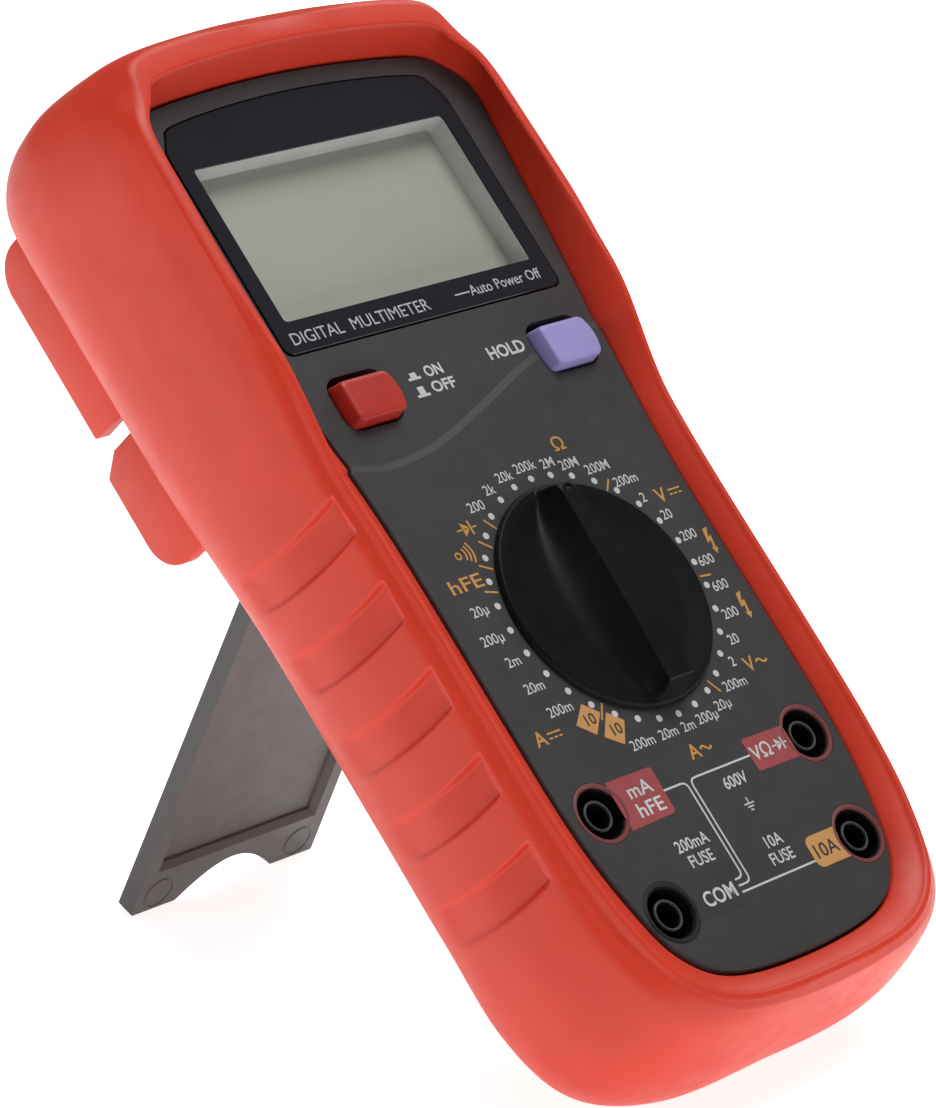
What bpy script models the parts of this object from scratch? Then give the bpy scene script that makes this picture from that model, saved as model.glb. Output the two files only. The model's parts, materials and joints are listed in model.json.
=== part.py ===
"""Handheld bench multimeter in a rubber holster, leaning back on its tilt stand.

Every piece is drawn in the meter's own flat frame, in millimetres: x to the right, y up the
meter, z out of the face, with the origin where the selector's axis meets the face. The empty
meter_frame carries that frame; it leans back by LEAN, so the meter rests on the ground plane.
"""

import math

import bmesh
import bpy
from mathutils import Matrix, Vector

MM = 0.001
LEAN = math.radians(46.5)
GAP = 0.35

# Depths along z: the face is at 0 and the holster's back is the deepest plane but the clips.
FACE_UNDER = -2.6
CASE_SPLIT = -16.0
CASE_BACK = -32.8
HOLSTER_INNER_BACK = -33.2
HOLSTER_BACK = -35.7
CASE_WALL = 2.4
BOARD_TOP = -10.8
BOARD_UNDER = -12.4

# Half outlines from the bottom centre to the top centre, as (x, y). The three share their
# stations, so that a line can be drawn from each point to the same point of the next.
OPENING = [
    (0, -70.0), (19, -68.6), (28.2, -62.0), (32.0, -51.0), (34.4, -36), (34.8, -15), (34.8, 8),
    (35.2, 24), (36.4, 38), (37.9, 53), (39.6, 70), (41.4, 88), (42.2, 98.5), (38.6, 104.0),
    (32.8, 107.4), (17, 109.2), (0, 109.8),
]
CREST = [
    (0, -73.6), (20.5, -72.1), (31.2, -65.6), (36.2, -53.5), (38.2, -37), (38.6, -15), (38.6, 8),
    (38.9, 24), (39.9, 38), (40.9, 53), (41.3, 70), (41.0, 88), (40.3, 100.2), (37.0, 105.8),
    (32.6, 109.8), (17, 111.8), (0, 112.4),
]
SIDE = [
    (0, -79.2), (22.5, -78.5), (36.8, -72.3), (43.2, -58.5), (44.4, -38), (44.5, -15), (44.5, 8),
    (44.7, 24), (45.7, 38), (46.9, 53), (47.1, 70), (47.1, 88), (46.7, 103.5), (43.6, 114.8),
    (34.5, 120.6), (17, 122.8), (0, 123.3),
]
STATIONS_PER_SPAN = 2

GRIP_CREST = 2.4
HOOD_CREST = 6.4
HOOD_START = 30.0
HOOD_FULL = 57.0

WINDOW = (30.6, 63.2, 94.6)
LENS_SIDE = 34.0
LENS_BOTTOM = 57.2
LCD_TOP = -4.8

DIAL_X = 1.0
KNOB_RADIUS = 22.0
KNOB_RIM = 1.3
KNOB_FLOOR = 0.9
KNOB_EDGE = 0.6
KNOB_TOP = 6.9

BUTTON_Y = 46.1
BUTTON_HALF = (7.6, 5.3)
BUTTON_X = {"power": -23.8, "hold": 25.5}
BUTTON_TRAVEL = 2.5

JACKS = {
    "milliamp": (-26.4, -34.9),
    "volt_ohm": (26.4, -34.9),
    "common": (-24.3, -54.5),
    "ten_amp": (24.3, -54.5),
}
JACK_RING = 5.6
JACK_WELL = 4.5
JACK_BOTTOM = -21.0

HEEL_RADIUS = 10.5
HEEL_DEPTH = 9.6

HINGE_Y = 41.4
HINGE_Z = -38.4
STAND_OPEN = math.radians(69.5)
STAND_LENGTH = 90.8
STAND_THICK = 3.0
STAND_RIM = 2.3
STAND_TAIL = 1.9
NOTCH_HALF = 12.5
NOTCH_DEPTH = 5.6
PIN_RADIUS = 1.7

COLOURS = {
    "holster_red": ((0.72, 0.075, 0.035), 0.55, 0.0),
    "case_grey": ((0.055, 0.052, 0.053), 0.5, 0.0),
    "knob_black": ((0.012, 0.012, 0.013), 0.35, 0.0),
    "lens_clear": ((0.05, 0.05, 0.06), 0.08, 0.0),
    "lcd_green": ((0.36, 0.38, 0.3), 0.25, 0.0),
    "frame_grey": ((0.42, 0.42, 0.38), 0.5, 0.0),
    "rubber_black": ((0.02, 0.02, 0.02), 0.8, 0.0),
    "board_green": ((0.02, 0.16, 0.06), 0.45, 0.0),
    "power_red": ((0.47, 0.04, 0.025), 0.4, 0.0),
    "hold_lavender": ((0.3, 0.27, 0.55), 0.4, 0.0),
    "jack_red": ((0.32, 0.06, 0.06), 0.45, 0.0),
    "jack_black": ((0.03, 0.03, 0.03), 0.5, 0.0),
    "brass": ((0.55, 0.4, 0.16), 0.3, 1.0),
    "steel": ((0.6, 0.6, 0.6), 0.3, 1.0),
    "glass": ((0.7, 0.75, 0.75), 0.1, 0.0),
    "switch_white": ((0.7, 0.7, 0.66), 0.5, 0.0),
    "battery_wrap": ((0.08, 0.12, 0.3), 0.4, 0.0),
    "lead_red": ((0.5, 0.02, 0.02), 0.5, 0.0),
    "stand_brown": ((0.12, 0.1, 0.09), 0.5, 0.0),
}


# ---------------------------------------------------------------- general helpers

def clear_scene():
    for obj in list(bpy.data.objects):
        bpy.data.objects.remove(obj)


def make_collection(name):
    collection = bpy.data.collections.new(name)
    bpy.context.scene.collection.children.link(collection)
    return collection


def material(name):
    """The Principled material of this name, made on first use."""
    found = bpy.data.materials.get(name)
    if found:
        return found
    colour, roughness, metallic = COLOURS[name]
    made = bpy.data.materials.new(name)
    made.use_nodes = True
    shader = made.node_tree.nodes["Principled BSDF"]
    shader.inputs["Base Color"].default_value = (*colour, 1.0)
    shader.inputs["Roughness"].default_value = roughness
    shader.inputs["Metallic"].default_value = metallic
    made.diffuse_color = (*colour, 1.0)
    return made


def place(obj, parent):
    obj.parent = parent
    return obj


def finish_mesh(name, shape, colour, smooth_angle=40):
    """An object from a bmesh drawn in millimetres; with no colour it is a hidden cutter."""
    bmesh.ops.scale(shape, vec=(MM, MM, MM), verts=shape.verts)
    bmesh.ops.recalc_face_normals(shape, faces=shape.faces)
    mesh = bpy.data.meshes.new(name)
    shape.to_mesh(mesh)
    shape.free()
    obj = bpy.data.objects.new(name, mesh)
    if colour:
        mesh.materials.append(material(colour))
        mesh.shade_smooth()
        mesh.set_sharp_from_angle(angle=math.radians(smooth_angle))
        PARTS.objects.link(obj)
    else:
        obj.hide_render = True
        obj.display_type = "WIRE"
        CUTTERS.objects.link(obj)
    return place(obj, FRAME)


def box(name, low, high, colour, bevel=0.0):
    """A block between two corners, with its edges rounded when bevel is given."""
    shape = bmesh.new()
    bmesh.ops.create_cube(shape, size=1.0)
    size = [h - l for l, h in zip(low, high)]
    centre = [(h + l) / 2 for l, h in zip(low, high)]
    bmesh.ops.scale(shape, vec=size, verts=shape.verts)
    bmesh.ops.translate(shape, vec=centre, verts=shape.verts)
    obj = finish_mesh(name, shape, colour)
    if bevel:
        rounding = obj.modifiers.new("rounded_edges", "BEVEL")
        rounding.width = bevel * MM
        rounding.segments = 2
    return obj


def turned(name, profile, centre, colour, steps=24, axis="Z"):
    """A turned piece: (radius, height) points running down its outer side, about an axis at centre."""
    shape = bmesh.new()
    verts = [shape.verts.new((radius * MM, 0, height * MM)) for radius, height in profile]
    for first, second in zip(verts, verts[1:]):
        shape.edges.new((first, second))
    if profile[0][0] > 0:
        shape.edges.new((verts[-1], verts[0]))
    mesh = bpy.data.meshes.new(name)
    shape.to_mesh(mesh)
    shape.free()
    obj = bpy.data.objects.new(name, mesh)
    screw = obj.modifiers.new("turn", "SCREW")
    screw.steps = steps
    screw.render_steps = steps
    screw.use_merge_vertices = True
    screw.merge_threshold = 0.00001
    screw.use_smooth_shade = True
    obj.location = Vector(centre) * MM
    if axis == "X":
        obj.rotation_euler = (0, math.pi / 2, 0)
    if colour:
        mesh.materials.append(material(colour))
        PARTS.objects.link(obj)
    else:
        obj.hide_render = True
        obj.display_type = "WIRE"
        CUTTERS.objects.link(obj)
    return place(obj, FRAME)


def ring_profile(outer, inner, top, bottom):
    return [(outer, top), (outer, bottom), (inner, bottom), (inner, top)]


def disc_profile(radius, top, bottom):
    return [(0, top), (radius, top), (radius, bottom), (0, bottom)]


def loft(name, rings, colour, smooth_angle=40):
    """A closed skin through rings of equal numbers of points, capped at both ends."""
    shape = bmesh.new()
    rows = [[shape.verts.new(point) for point in ring] for ring in rings]
    for lower, upper in zip(rows, rows[1:]):
        for index in range(len(lower)):
            following = (index + 1) % len(lower)
            shape.faces.new((lower[index], lower[following], upper[following], upper[index]))
    shape.faces.new(rows[0])
    shape.faces.new(rows[-1])
    return finish_mesh(name, shape, colour, smooth_angle)


def slab(name, outline, low, high, colour, plane="XY", smooth_angle=40):
    """A flat outline given thickness: in XY between two z, or in YZ between two x."""
    if plane == "XY":
        rings = [[(x, y, level) for x, y in outline] for level in (low, high)]
    else:
        rings = [[(level, y, z) for y, z in outline] for level in (low, high)]
    return loft(name, rings, colour, smooth_angle)


def wire(name, points, radius, colour, sides=1):
    """A round wire along points, made into one closed mesh."""
    curve = bpy.data.curves.new(name, "CURVE")
    curve.dimensions = "3D"
    curve.bevel_depth = radius * MM
    curve.bevel_resolution = sides
    curve.use_fill_caps = True
    spline = curve.splines.new("POLY")
    spline.points.add(len(points) - 1)
    for knot, point in zip(spline.points, points):
        knot.co = (*(Vector(point) * MM), 1)
    guide = bpy.data.objects.new(name + "_line", curve)
    bpy.context.scene.collection.objects.link(guide)
    bpy.context.view_layer.update()
    graph = bpy.context.evaluated_depsgraph_get()
    mesh = bpy.data.meshes.new_from_object(guide.evaluated_get(graph))
    bpy.data.objects.remove(guide)
    shape = bmesh.new()
    shape.from_mesh(mesh)
    bmesh.ops.remove_doubles(shape, verts=shape.verts, dist=1e-6)
    bmesh.ops.scale(shape, vec=(1 / MM, 1 / MM, 1 / MM), verts=shape.verts)
    return finish_mesh(name, shape, colour)


def combine(obj, other, operation):
    modifier = obj.modifiers.new(operation.lower(), "BOOLEAN")
    modifier.operation = operation
    modifier.solver = "EXACT"
    modifier.object = other
    return obj


def cut(obj, *cutters):
    for cutter in cutters:
        combine(obj, cutter, "DIFFERENCE")
    return obj


def join(obj, *others):
    for other in others:
        combine(obj, other, "UNION")
    return obj


# ---------------------------------------------------------------- outlines

def blend(low, high, value):
    """0 below low, 1 above high, with a smooth change between."""
    share = min(max((value - low) / (high - low), 0.0), 1.0)
    return share * share * (3 - 2 * share)


def mix(first, second, share):
    return tuple(a + (b - a) * share for a, b in zip(first, second))


def smooth_loop(half):
    """The closed outline of a half outline and its mirror image, through a Catmull-Rom curve."""
    mirrored = [(-x, y) for x, y in half[-2:0:-1]]
    knots = [Vector(point) for point in list(half) + mirrored]
    count = len(knots)
    points = []
    for index in range(count):
        before, here, after, beyond = (knots[(index + shift) % count] for shift in (-1, 0, 1, 2))
        for step in range(STATIONS_PER_SPAN):
            t = step / STATIONS_PER_SPAN
            point = 0.5 * (
                2 * here
                + (after - before) * t
                + (2 * before - 5 * here + 4 * after - beyond) * t * t
                + (3 * here - before - 3 * after + beyond) * t ** 3
            )
            points.append(tuple(point))
    return points


def inset(outline, distance):
    """The outline moved inwards along its own normals."""
    return inset_by(outline, lambda y: distance)


def inset_by(outline, distance_at):
    """The outline moved inwards by a distance that may change with y."""
    count = len(outline)
    moved = []
    for index, (x, y) in enumerate(outline):
        ahead = Vector(outline[(index + 1) % count])
        behind = Vector(outline[index - 1])
        along = (ahead - behind).normalized()
        distance = distance_at(y)
        moved.append((x - along.y * distance, y + along.x * distance))
    return moved


def inside_holster(extra):
    """The outline of the holster's cavity, moved inwards by extra; its wall is thinner at the head."""
    return inset_by(smooth_loop(SIDE), lambda y: 5.0 - 2.0 * blend(HOOD_START, 75.0, y) + extra)


def level(outline, z):
    return [(x, y, z) for x, y in outline]


def rounded_rectangle(half_x, half_y, radius, centre=(0, 0), steps=4):
    points = []
    for corner in range(4):
        turn = math.pi / 2 * corner
        cx = (half_x - radius) * (1 if corner in (0, 3) else -1)
        cy = (half_y - radius) * (1 if corner in (0, 1) else -1)
        for step in range(steps + 1):
            angle = turn + math.pi / 2 * step / steps
            x = centre[0] + cx + radius * math.cos(angle)
            y = centre[1] + cy + radius * math.sin(angle)
            points.append((x, y))
    return points


def arc(centre, radius, start, end, steps):
    angles = [math.radians(start + (end - start) * step / steps) for step in range(steps + 1)]
    return [(centre[0] + radius * math.cos(a), centre[1] + radius * math.sin(a)) for a in angles]


def lens_outline(margin):
    """The display lens: an arched top with chamfered corners, grown by margin."""
    side = LENS_SIDE + margin
    bottom = LENS_BOTTOM - margin
    half = [(side - 2.5, bottom), (side, bottom + 2.5), (side, 98.2)]
    half.append((31.2 + margin, 102.9 + margin * 0.6))
    arch = [(x, 105.5 + margin - 2.3 * (x / 31.2) ** 2) for x in (22, 11, 0)]
    right = half + arch
    return right + [(-x, y) for x, y in reversed(right[:-1])]


# ---------------------------------------------------------------- holster

def crest_height(y):
    return GRIP_CREST + (HOOD_CREST - GRIP_CREST) * blend(HOOD_START, HOOD_FULL, y)


def crest_share(y):
    """How far the crest's flat top reaches towards the side wall; it is widest over the head."""
    return 0.24 + 0.15 * blend(104.0, 112.0, y)


def holster_rings():
    """Rings from the middle of the inner back, round the lip and down the outside to the back."""
    opening, crest, side = (smooth_loop(half) for half in (OPENING, CREST, SIDE))
    cavity = inside_holster(0)
    rings = [level(inside_holster(4.5), HOLSTER_INNER_BACK)]
    rings.append(level(cavity, -24.0))
    rings.append(level(cavity, FACE_UNDER))
    rings.append(level(opening, FACE_UNDER))
    rings.append(level(opening, -1.2))
    rings.append([(x, y, crest_height(y)) for x, y in crest])
    for share, drop in ((None, 0.4), (0.55, 4.0), (0.82, 10.0)):
        rings.append([
            (*mix(inner, outer, share or crest_share(inner[1])), crest_height(inner[1]) - drop)
            for inner, outer in zip(crest, side)
        ])
    rings.append(level(side, -14.5))
    rings.append(level(side, -21.0))
    for distance, z in ((1.0, -27.0), (3.4, -32.2), (6.2, -34.8), (9.5, HOLSTER_BACK)):
        rings.append(level(inset(side, distance), z))
    return rings


def clip_outline(low, high, depth, rounded_end):
    """A probe clip's wall seen from the side, as (y, z), with one end rounded."""
    root = HOLSTER_BACK + 1.5
    radius = 7.0
    if rounded_end == "high":
        curve = arc((high - radius, -depth + radius), radius, -90, 0, 5)
        return [(low, root), (low, -depth)] + curve + [(high, root)]
    curve = arc((low + radius, -depth + radius), radius, 180, 270, 5)
    return [(low, root)] + curve + [(high - 3.0, -depth), (high, -depth + 5.0), (high, root)]


def probe_clips():
    """Walls on the holster's back that hold a test probe at each side; the inner ones carry the hinge."""
    walls = []
    for side in (-1, 1):
        for inner, outer, low_end in ((35.8, 39.4, 42.8), (24.3, 27.3, 34.5)):
            low, high = sorted((side * inner, side * outer))
            upper = clip_outline(70.5, 107.5, 45.7, "high")
            lower = clip_outline(low_end, 66.8, 48.0, "low")
            for label, outline in (("upper", upper), ("lower", lower)):
                name = f"clip_{label}_{side}_{inner}"
                walls.append(slab(name, outline, low, high, None, plane="YZ"))
    return walls


def pin_hole(side):
    low, high = sorted((side * 23.0, side * 28.5))
    profile = disc_profile(PIN_RADIUS + 0.2, high - low, 0)
    return turned(f"pin_hole_{side}", profile, (low, HINGE_Y, HINGE_Z), None, 16, "X")


def ground_cutter():
    """A block below the ground plane, which leaves flat feet where it cuts."""
    down = Matrix.Rotation(-LEAN, 3, "X")
    corner = Vector((0, SIDE[0][1] + HEEL_RADIUS, HOLSTER_BACK + HEEL_RADIUS))
    normal = down @ Vector((0, 0, 1))
    base = corner - normal * HEEL_DEPTH
    shape = bmesh.new()
    bmesh.ops.create_cube(shape, size=1.0)
    bmesh.ops.scale(shape, vec=(120, 320, 20), verts=shape.verts)
    bmesh.ops.translate(shape, vec=(0, 60, -10), verts=shape.verts)
    bmesh.ops.rotate(shape, matrix=down, verts=shape.verts)
    bmesh.ops.translate(shape, vec=base, verts=shape.verts)
    return finish_mesh("ground", shape, None)


def build_holster(ground):
    holster = loft("holster", holster_rings(), "holster_red", 50)
    join(holster, *probe_clips())
    cut(holster, pin_hole(-1), pin_hole(1), ground)
    return holster


# ---------------------------------------------------------------- cases

def round_hole(name, centre, radius, top, bottom, steps=20):
    return turned(name, disc_profile(radius, top, bottom), (centre[0], centre[1], 0), None, steps)


CASE_SCREWS = [(-28, 101.6), (28, 101.6), (-11, -62.5), (11, -62.5)]
BOARD_SCREWS = [(-31.5, -14), (31.5, -14), (-33, 31), (33, 31)]


def build_front_case():
    opening = smooth_loop(OPENING)
    shoulder = FACE_UNDER - GAP
    rings = [
        level(inset(opening, 1.5), 0.0),
        level(inset(opening, 0.6), -0.4),
        level(inset(opening, GAP), -1.3),
        level(inset(opening, GAP), shoulder),
        level(inside_holster(GAP), shoulder),
        level(inside_holster(GAP), CASE_SPLIT),
        level(inside_holster(CASE_WALL), CASE_SPLIT),
        level(inside_holster(CASE_WALL), shoulder - 2.2),
        level(inset(opening, 3.0), shoulder - 2.2),
        level(inset(opening, 3.0), FACE_UNDER),
    ]
    case = loft("front_case", rings, "case_grey", 50)
    for index, (x, y) in enumerate(CASE_SCREWS):
        join(case, turned(f"case_post_{index}", disc_profile(3.2, -2.0, CASE_SPLIT), (x, y, 0), None, 16))
    for index, (x, y) in enumerate(BOARD_SCREWS):
        post = disc_profile(2.6, -2.0, BOARD_TOP + GAP)
        join(case, turned(f"board_post_{index}", post, (x, y, 0), None, 16))
    join(case, turned("detent_rim", ring_profile(24.4, 22.6, -2.0, -8.0), (DIAL_X, 0, 0), None, 32))
    pocket = slab("lens_pocket", lens_outline(0.3), -1.85, 2.0, None)
    half, low, high = WINDOW
    window = box("case_window", (-half - 1.2, low - 1.2, -5), (half + 1.2, high + 1.2, 2), None)
    cut(case, pocket, window)
    for name, x in BUTTON_X.items():
        outline = rounded_rectangle(*BUTTON_HALF, 3.0, (x, BUTTON_Y))
        cut(case, slab(f"{name}_hole", outline, -5, 2, None))
    cut(case, round_hole("knob_hole", (DIAL_X, 0), 8.4, 2, -5))
    for name, centre in JACKS.items():
        cut(case, round_hole(f"{name}_hole", centre, JACK_RING + GAP, 2, -22))
    for index, centre in enumerate(CASE_SCREWS):
        cut(case, round_hole(f"case_thread_{index}", centre, 1.7, -4.5, -20, 12))
    for index, centre in enumerate(BOARD_SCREWS):
        cut(case, round_hole(f"board_thread_{index}", centre, 1.2, -5.0, -20, 12))
    return case


BATTERY_LOW = (-24.2, 64.5, -30.2)
BATTERY_HIGH = (24.2, 90.5, -12.9)
COVER_SCREW = (0, 98.2)
COVER_TAB_END = 102.0


def build_rear_case():
    split = CASE_SPLIT - GAP
    rings = [
        level(inside_holster(5.0), CASE_BACK),
        level(inside_holster(GAP), -24.0),
        level(inside_holster(GAP), split),
        level(inside_holster(CASE_WALL), split),
        level(inside_holster(CASE_WALL), -23.4),
        level(inside_holster(6.8), CASE_BACK + 2.0),
    ]
    case = loft("rear_case", rings, "case_grey", 50)
    for index, (x, y) in enumerate(CASE_SCREWS):
        join(case, turned(f"rear_post_{index}", disc_profile(4.4, split, -31.5), (x, y, 0), None, 16))
    hatch = box("battery_hatch", (-28, 61, -40), (30, 94, -29), None)
    pad = box("cover_pad", (-8.0, 93.0, -31.5), (8.0, 104.0, -27.2), None)
    recess = box("cover_recess", (-5 - GAP, 92, -40), (5 + GAP, COVER_TAB_END + GAP, -30.25), None)
    cut(join(case, pad), hatch, recess)
    for index, centre in enumerate(CASE_SCREWS):
        cut(case, round_hole(f"rear_bore_{index}", centre, 1.7, 0, -40, 12))
        cut(case, round_hole(f"rear_sink_{index}", centre, 3.3, -30.2, -40, 16))
    cut(case, round_hole("cover_thread", COVER_SCREW, 1.3, -27.8, -40, 12))
    return case


def build_battery_door():
    low, high = (-28 + GAP, 61 + GAP), (30 - GAP, 94 - GAP)
    cover = box("battery_cover", (*low, CASE_BACK), (*high, CASE_BACK + 1.8), "case_grey")
    tab = box("cover_tab", (-5, 90, CASE_BACK + 1.2), (5, COVER_TAB_END, CASE_BACK + 2.2), None)
    cut(join(cover, tab), round_hole("cover_bore", COVER_SCREW, 1.4, 0, -40, 12))
    screw("battery_cover_screw", COVER_SCREW, -32.7, 2.4, 0.8, 1.0, -28.6)


def screw(name, centre, head_low, head_radius, head_height, shank_radius, tip):
    """A pan-head screw driven from the back, its tip towards the face."""
    profile = [
        (0, tip), (shank_radius * 0.6, tip), (shank_radius, tip - 1.0),
        (shank_radius, head_low + head_height), (head_radius, head_low + head_height * 0.9),
        (head_radius, head_low + head_height * 0.35), (head_radius * 0.7, head_low), (0, head_low),
    ]
    return turned(name, profile, (centre[0], centre[1], 0), "steel", 12)


def build_screws():
    for index, centre in enumerate(CASE_SCREWS):
        screw(f"case_screw_{index + 1}", centre, -32.4, 2.8, 1.9, 1.35, -6.0)
    for index, centre in enumerate(BOARD_SCREWS):
        screw(f"board_screw_{index + 1}", centre, BOARD_UNDER - 1.6, 2.1, 1.3, 0.85, -6.5)


# ---------------------------------------------------------------- display

def build_display():
    half, low, high = WINDOW
    slab("display_lens", lens_outline(0.0), -1.5, 0.15, "lens_clear")
    frame_low = (-half - 2.8, low - 2.6, BOARD_TOP + GAP)
    frame_high = (half + 2.8, high + 2.6, FACE_UNDER - GAP)
    frame = box("lcd_frame", frame_low, frame_high, "frame_grey")
    cut(frame, box("lcd_aperture", (-half, low, -12), (half, high, 0), None))
    seat_high = (half + 1.6, high + 1.4, LCD_TOP + 0.2)
    cut(frame, box("lcd_seat", (-half - 1.6, low - 1.4, -12), seat_high, None))
    glass_high = (half + 1.2, high + 1.0, LCD_TOP)
    box("lcd_glass", (-half - 1.2, low - 1.0, LCD_TOP - 2.0), glass_high, "lcd_green")
    for name, y in (("zebra_strip_lower", low + 0.6), ("zebra_strip_upper", high - 2.6)):
        box(name, (-28, y, BOARD_TOP + GAP), (28, y + 2.0, LCD_TOP - 2.0 - GAP), "rubber_black")


# ---------------------------------------------------------------- selector

def bar_foot(y):
    """Half-width of the grip bar where it meets the knob's floor; widest in the middle."""
    return 3.6 + 5.4 * math.cos(min(abs(y) / KNOB_RADIUS, 1.0) * math.pi / 2)


def bar_crown(y):
    """Half-width of the bar's flat top, narrowest at the pointer end."""
    return 2.35 - 0.5 * y / KNOB_RADIUS


def knob_height(x, y):
    floor = KNOB_FLOOR + (KNOB_RIM - KNOB_FLOOR) * (math.hypot(x, y) / KNOB_RADIUS) ** 4
    share = (abs(x) - bar_crown(y)) / (bar_foot(y) - bar_crown(y))
    share = min(max(share, 0.0), 1.0)
    return floor + (KNOB_TOP - floor) * (1 - share) ** 2


def knob_rows():
    """Rows of the knob's top across the bar, narrowing to the pointer and tail ends."""
    reach = KNOB_RADIUS - 0.7
    rows = []
    for step in range(-9, 10):
        y = reach * math.sin(math.pi / 2 * step / 9.6)
        chord = math.sqrt(reach ** 2 - y ** 2)
        foot, crown = min(bar_foot(y), chord * 0.85), min(bar_crown(y), chord * 0.5)
        middle = (foot + crown) / 2
        right = [crown, middle, foot, (foot + chord) / 2, chord]
        row = [-x for x in reversed(right)] + right
        rows.append([(x, y, knob_height(x, y)) for x in row])
    return rows


def build_knob():
    shape = bmesh.new()
    rows = [[shape.verts.new(point) for point in row] for row in knob_rows()]
    for lower, upper in zip(rows, rows[1:]):
        for index in range(len(lower) - 1):
            shape.faces.new((lower[index], lower[index + 1], upper[index + 1], upper[index]))
    rim = rows[0] + [row[-1] for row in rows[1:]] + rows[-1][-2::-1] + [row[0] for row in rows[-2:0:-1]]
    skirt = []
    for vert in rim:
        outward = Vector((vert.co.x, vert.co.y)).normalized() * KNOB_RADIUS
        skirt.append(shape.verts.new((outward.x, outward.y, KNOB_EDGE)))
    base = [shape.verts.new((vert.co.x, vert.co.y, GAP)) for vert in skirt]
    for upper, lower in ((rim, skirt), (skirt, base)):
        for index in range(len(upper)):
            following = (index + 1) % len(upper)
            shape.faces.new((upper[index], upper[following], lower[following], lower[index]))
    shape.faces.new(base)
    knob = finish_mesh("selector_knob", shape, "knob_black", 30)
    knob.location.x = DIAL_X * MM
    profile = [(0, 0.8), (7.8, 0.8), (7.8, -2.6), (3.4, -2.6), (3.4, -8.0), (0, -8.0)]
    return join(knob, turned("knob_stem", profile, (DIAL_X, 0, 0), None, 24))


def spring_points(radius, length, turns):
    count = turns * 8
    for step in range(count + 1):
        angle = 2 * math.pi * step / 8
        yield (length * step / count, radius * math.cos(angle), radius * math.sin(angle))


def build_selector():
    build_knob()
    profile = [
        (19.8, -3.2), (19.8, -4.8), (14.0, -4.8), (14.0, -9.0), (12.0, -9.0), (12.0, -4.8),
        (7.0, -4.8), (7.0, -8.2), (3.75, -8.2), (3.75, -3.2),
    ]
    turned("selector_rotor", profile, (DIAL_X, 0, 0), "switch_white", 24)
    for index, angle in enumerate((90, 210, 330)):
        turn = math.radians(angle)
        centre = (DIAL_X + 13.0 * math.cos(turn), 13.0 * math.sin(turn))
        wiper = box(f"contact_wiper_{index + 1}", (-5, -0.8, -0.2), (5, 0.8, 0.2), "brass")
        wiper.location = Vector((*centre, -9.6)) * MM
        wiper.rotation_euler = (0, 0, math.radians(angle + 90))
    for index, side in enumerate((-1, 1)):
        ball = [(1.2 * math.sin(math.pi * s / 8), 1.2 * math.cos(math.pi * s / 8)) for s in range(9)]
        ball[0], ball[-1] = (0, 1.2), (0, -1.2)
        turned(f"detent_ball_{index + 1}", ball, (DIAL_X + side * 20.9, 0, -6.6), "steel", 12)
        coil = spring_points(0.8, 4.1, 4)
        points = [(side * (14.9 + along), a, b - 6.6) for along, a, b in coil]
        spring = wire(f"detent_spring_{index + 1}", points, 0.16, "steel", 0)
        spring.location.x = DIAL_X * MM


# ---------------------------------------------------------------- buttons

def barrel(half_x, half_y, bulge_left, bulge_right, z, centre):
    """A cap's outline: straight long sides, and ends that bulge by the given amounts."""
    points = []
    for side, bulge in ((1, bulge_right), (-1, bulge_left)):
        for step in range(7):
            t = -1 + step / 3
            x = side * (half_x + bulge * (1 - t * t))
            points.append((centre + x, BUTTON_Y + side * t * half_y, z))
    return points


def build_button(name, colour):
    x = BUTTON_X[name]
    rings = [
        barrel(6.9, 5.5, 1.0, 1.0, -3.9, x),
        barrel(6.9, 5.5, 1.0, 1.0, FACE_UNDER - GAP, x),
        barrel(6.0, 4.7, 1.0, 1.0, FACE_UNDER - GAP, x),
        barrel(6.0, 4.7, 1.0, 1.0, -0.4, x),
        barrel(5.3, 3.4, 0.1, 1.0, 2.7, x),
        barrel(4.9, 3.0, 0.1, 1.0, 3.0, x),
    ]
    loft(f"{name}_button", rings, colour, 30)
    plunger_high = (x + 1.3, BUTTON_Y + 1.3, -3.9 - GAP)
    box(f"{name}_plunger", (x - 1.3, BUTTON_Y - 1.3, -7.4), plunger_high, "switch_white")
    switch_high = (x + 4, BUTTON_Y + 4, -6.7)
    body = box(f"{name}_switch", (x - 4, BUTTON_Y - 4, BOARD_TOP + GAP), switch_high, "switch_white")
    cut(body, box(f"{name}_bore", (x - 1.7, BUTTON_Y - 1.7, -10.2), (x + 1.7, BUTTON_Y + 1.7, 0), None))


# ---------------------------------------------------------------- jacks

def build_jacks():
    for name, (x, y) in JACKS.items():
        sleeve = [
            (JACK_RING, 0.2), (JACK_RING, JACK_BOTTOM), (3.15, JACK_BOTTOM),
            (3.15, JACK_BOTTOM + 1.5), (JACK_WELL, JACK_BOTTOM + 1.5), (JACK_WELL, 0.2),
        ]
        colour = "jack_black" if name == "common" else "jack_red"
        turned(f"jack_sleeve_{name}", sleeve, (x, y, 0), colour, 20)
        turned(f"jack_contact_{name}", ring_profile(2.85, 2.25, -0.9, JACK_BOTTOM), (x, y, 0), "brass", 16)


# ---------------------------------------------------------------- board and what it carries

def build_board():
    board = slab("main_board", inset(smooth_loop(SIDE), 9.2), BOARD_UNDER, BOARD_TOP, "board_green")
    for name, centre in JACKS.items():
        cut(board, round_hole(f"board_{name}", centre, JACK_RING + GAP, 0, -20, 20))
    for index, centre in enumerate(CASE_SCREWS):
        cut(board, round_hole(f"board_post_hole_{index}", centre, 3.6, 0, -20, 16))
    for index, centre in enumerate(BOARD_SCREWS):
        cut(board, round_hole(f"board_screw_hole_{index}", centre, 1.2, 0, -20, 12))


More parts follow.
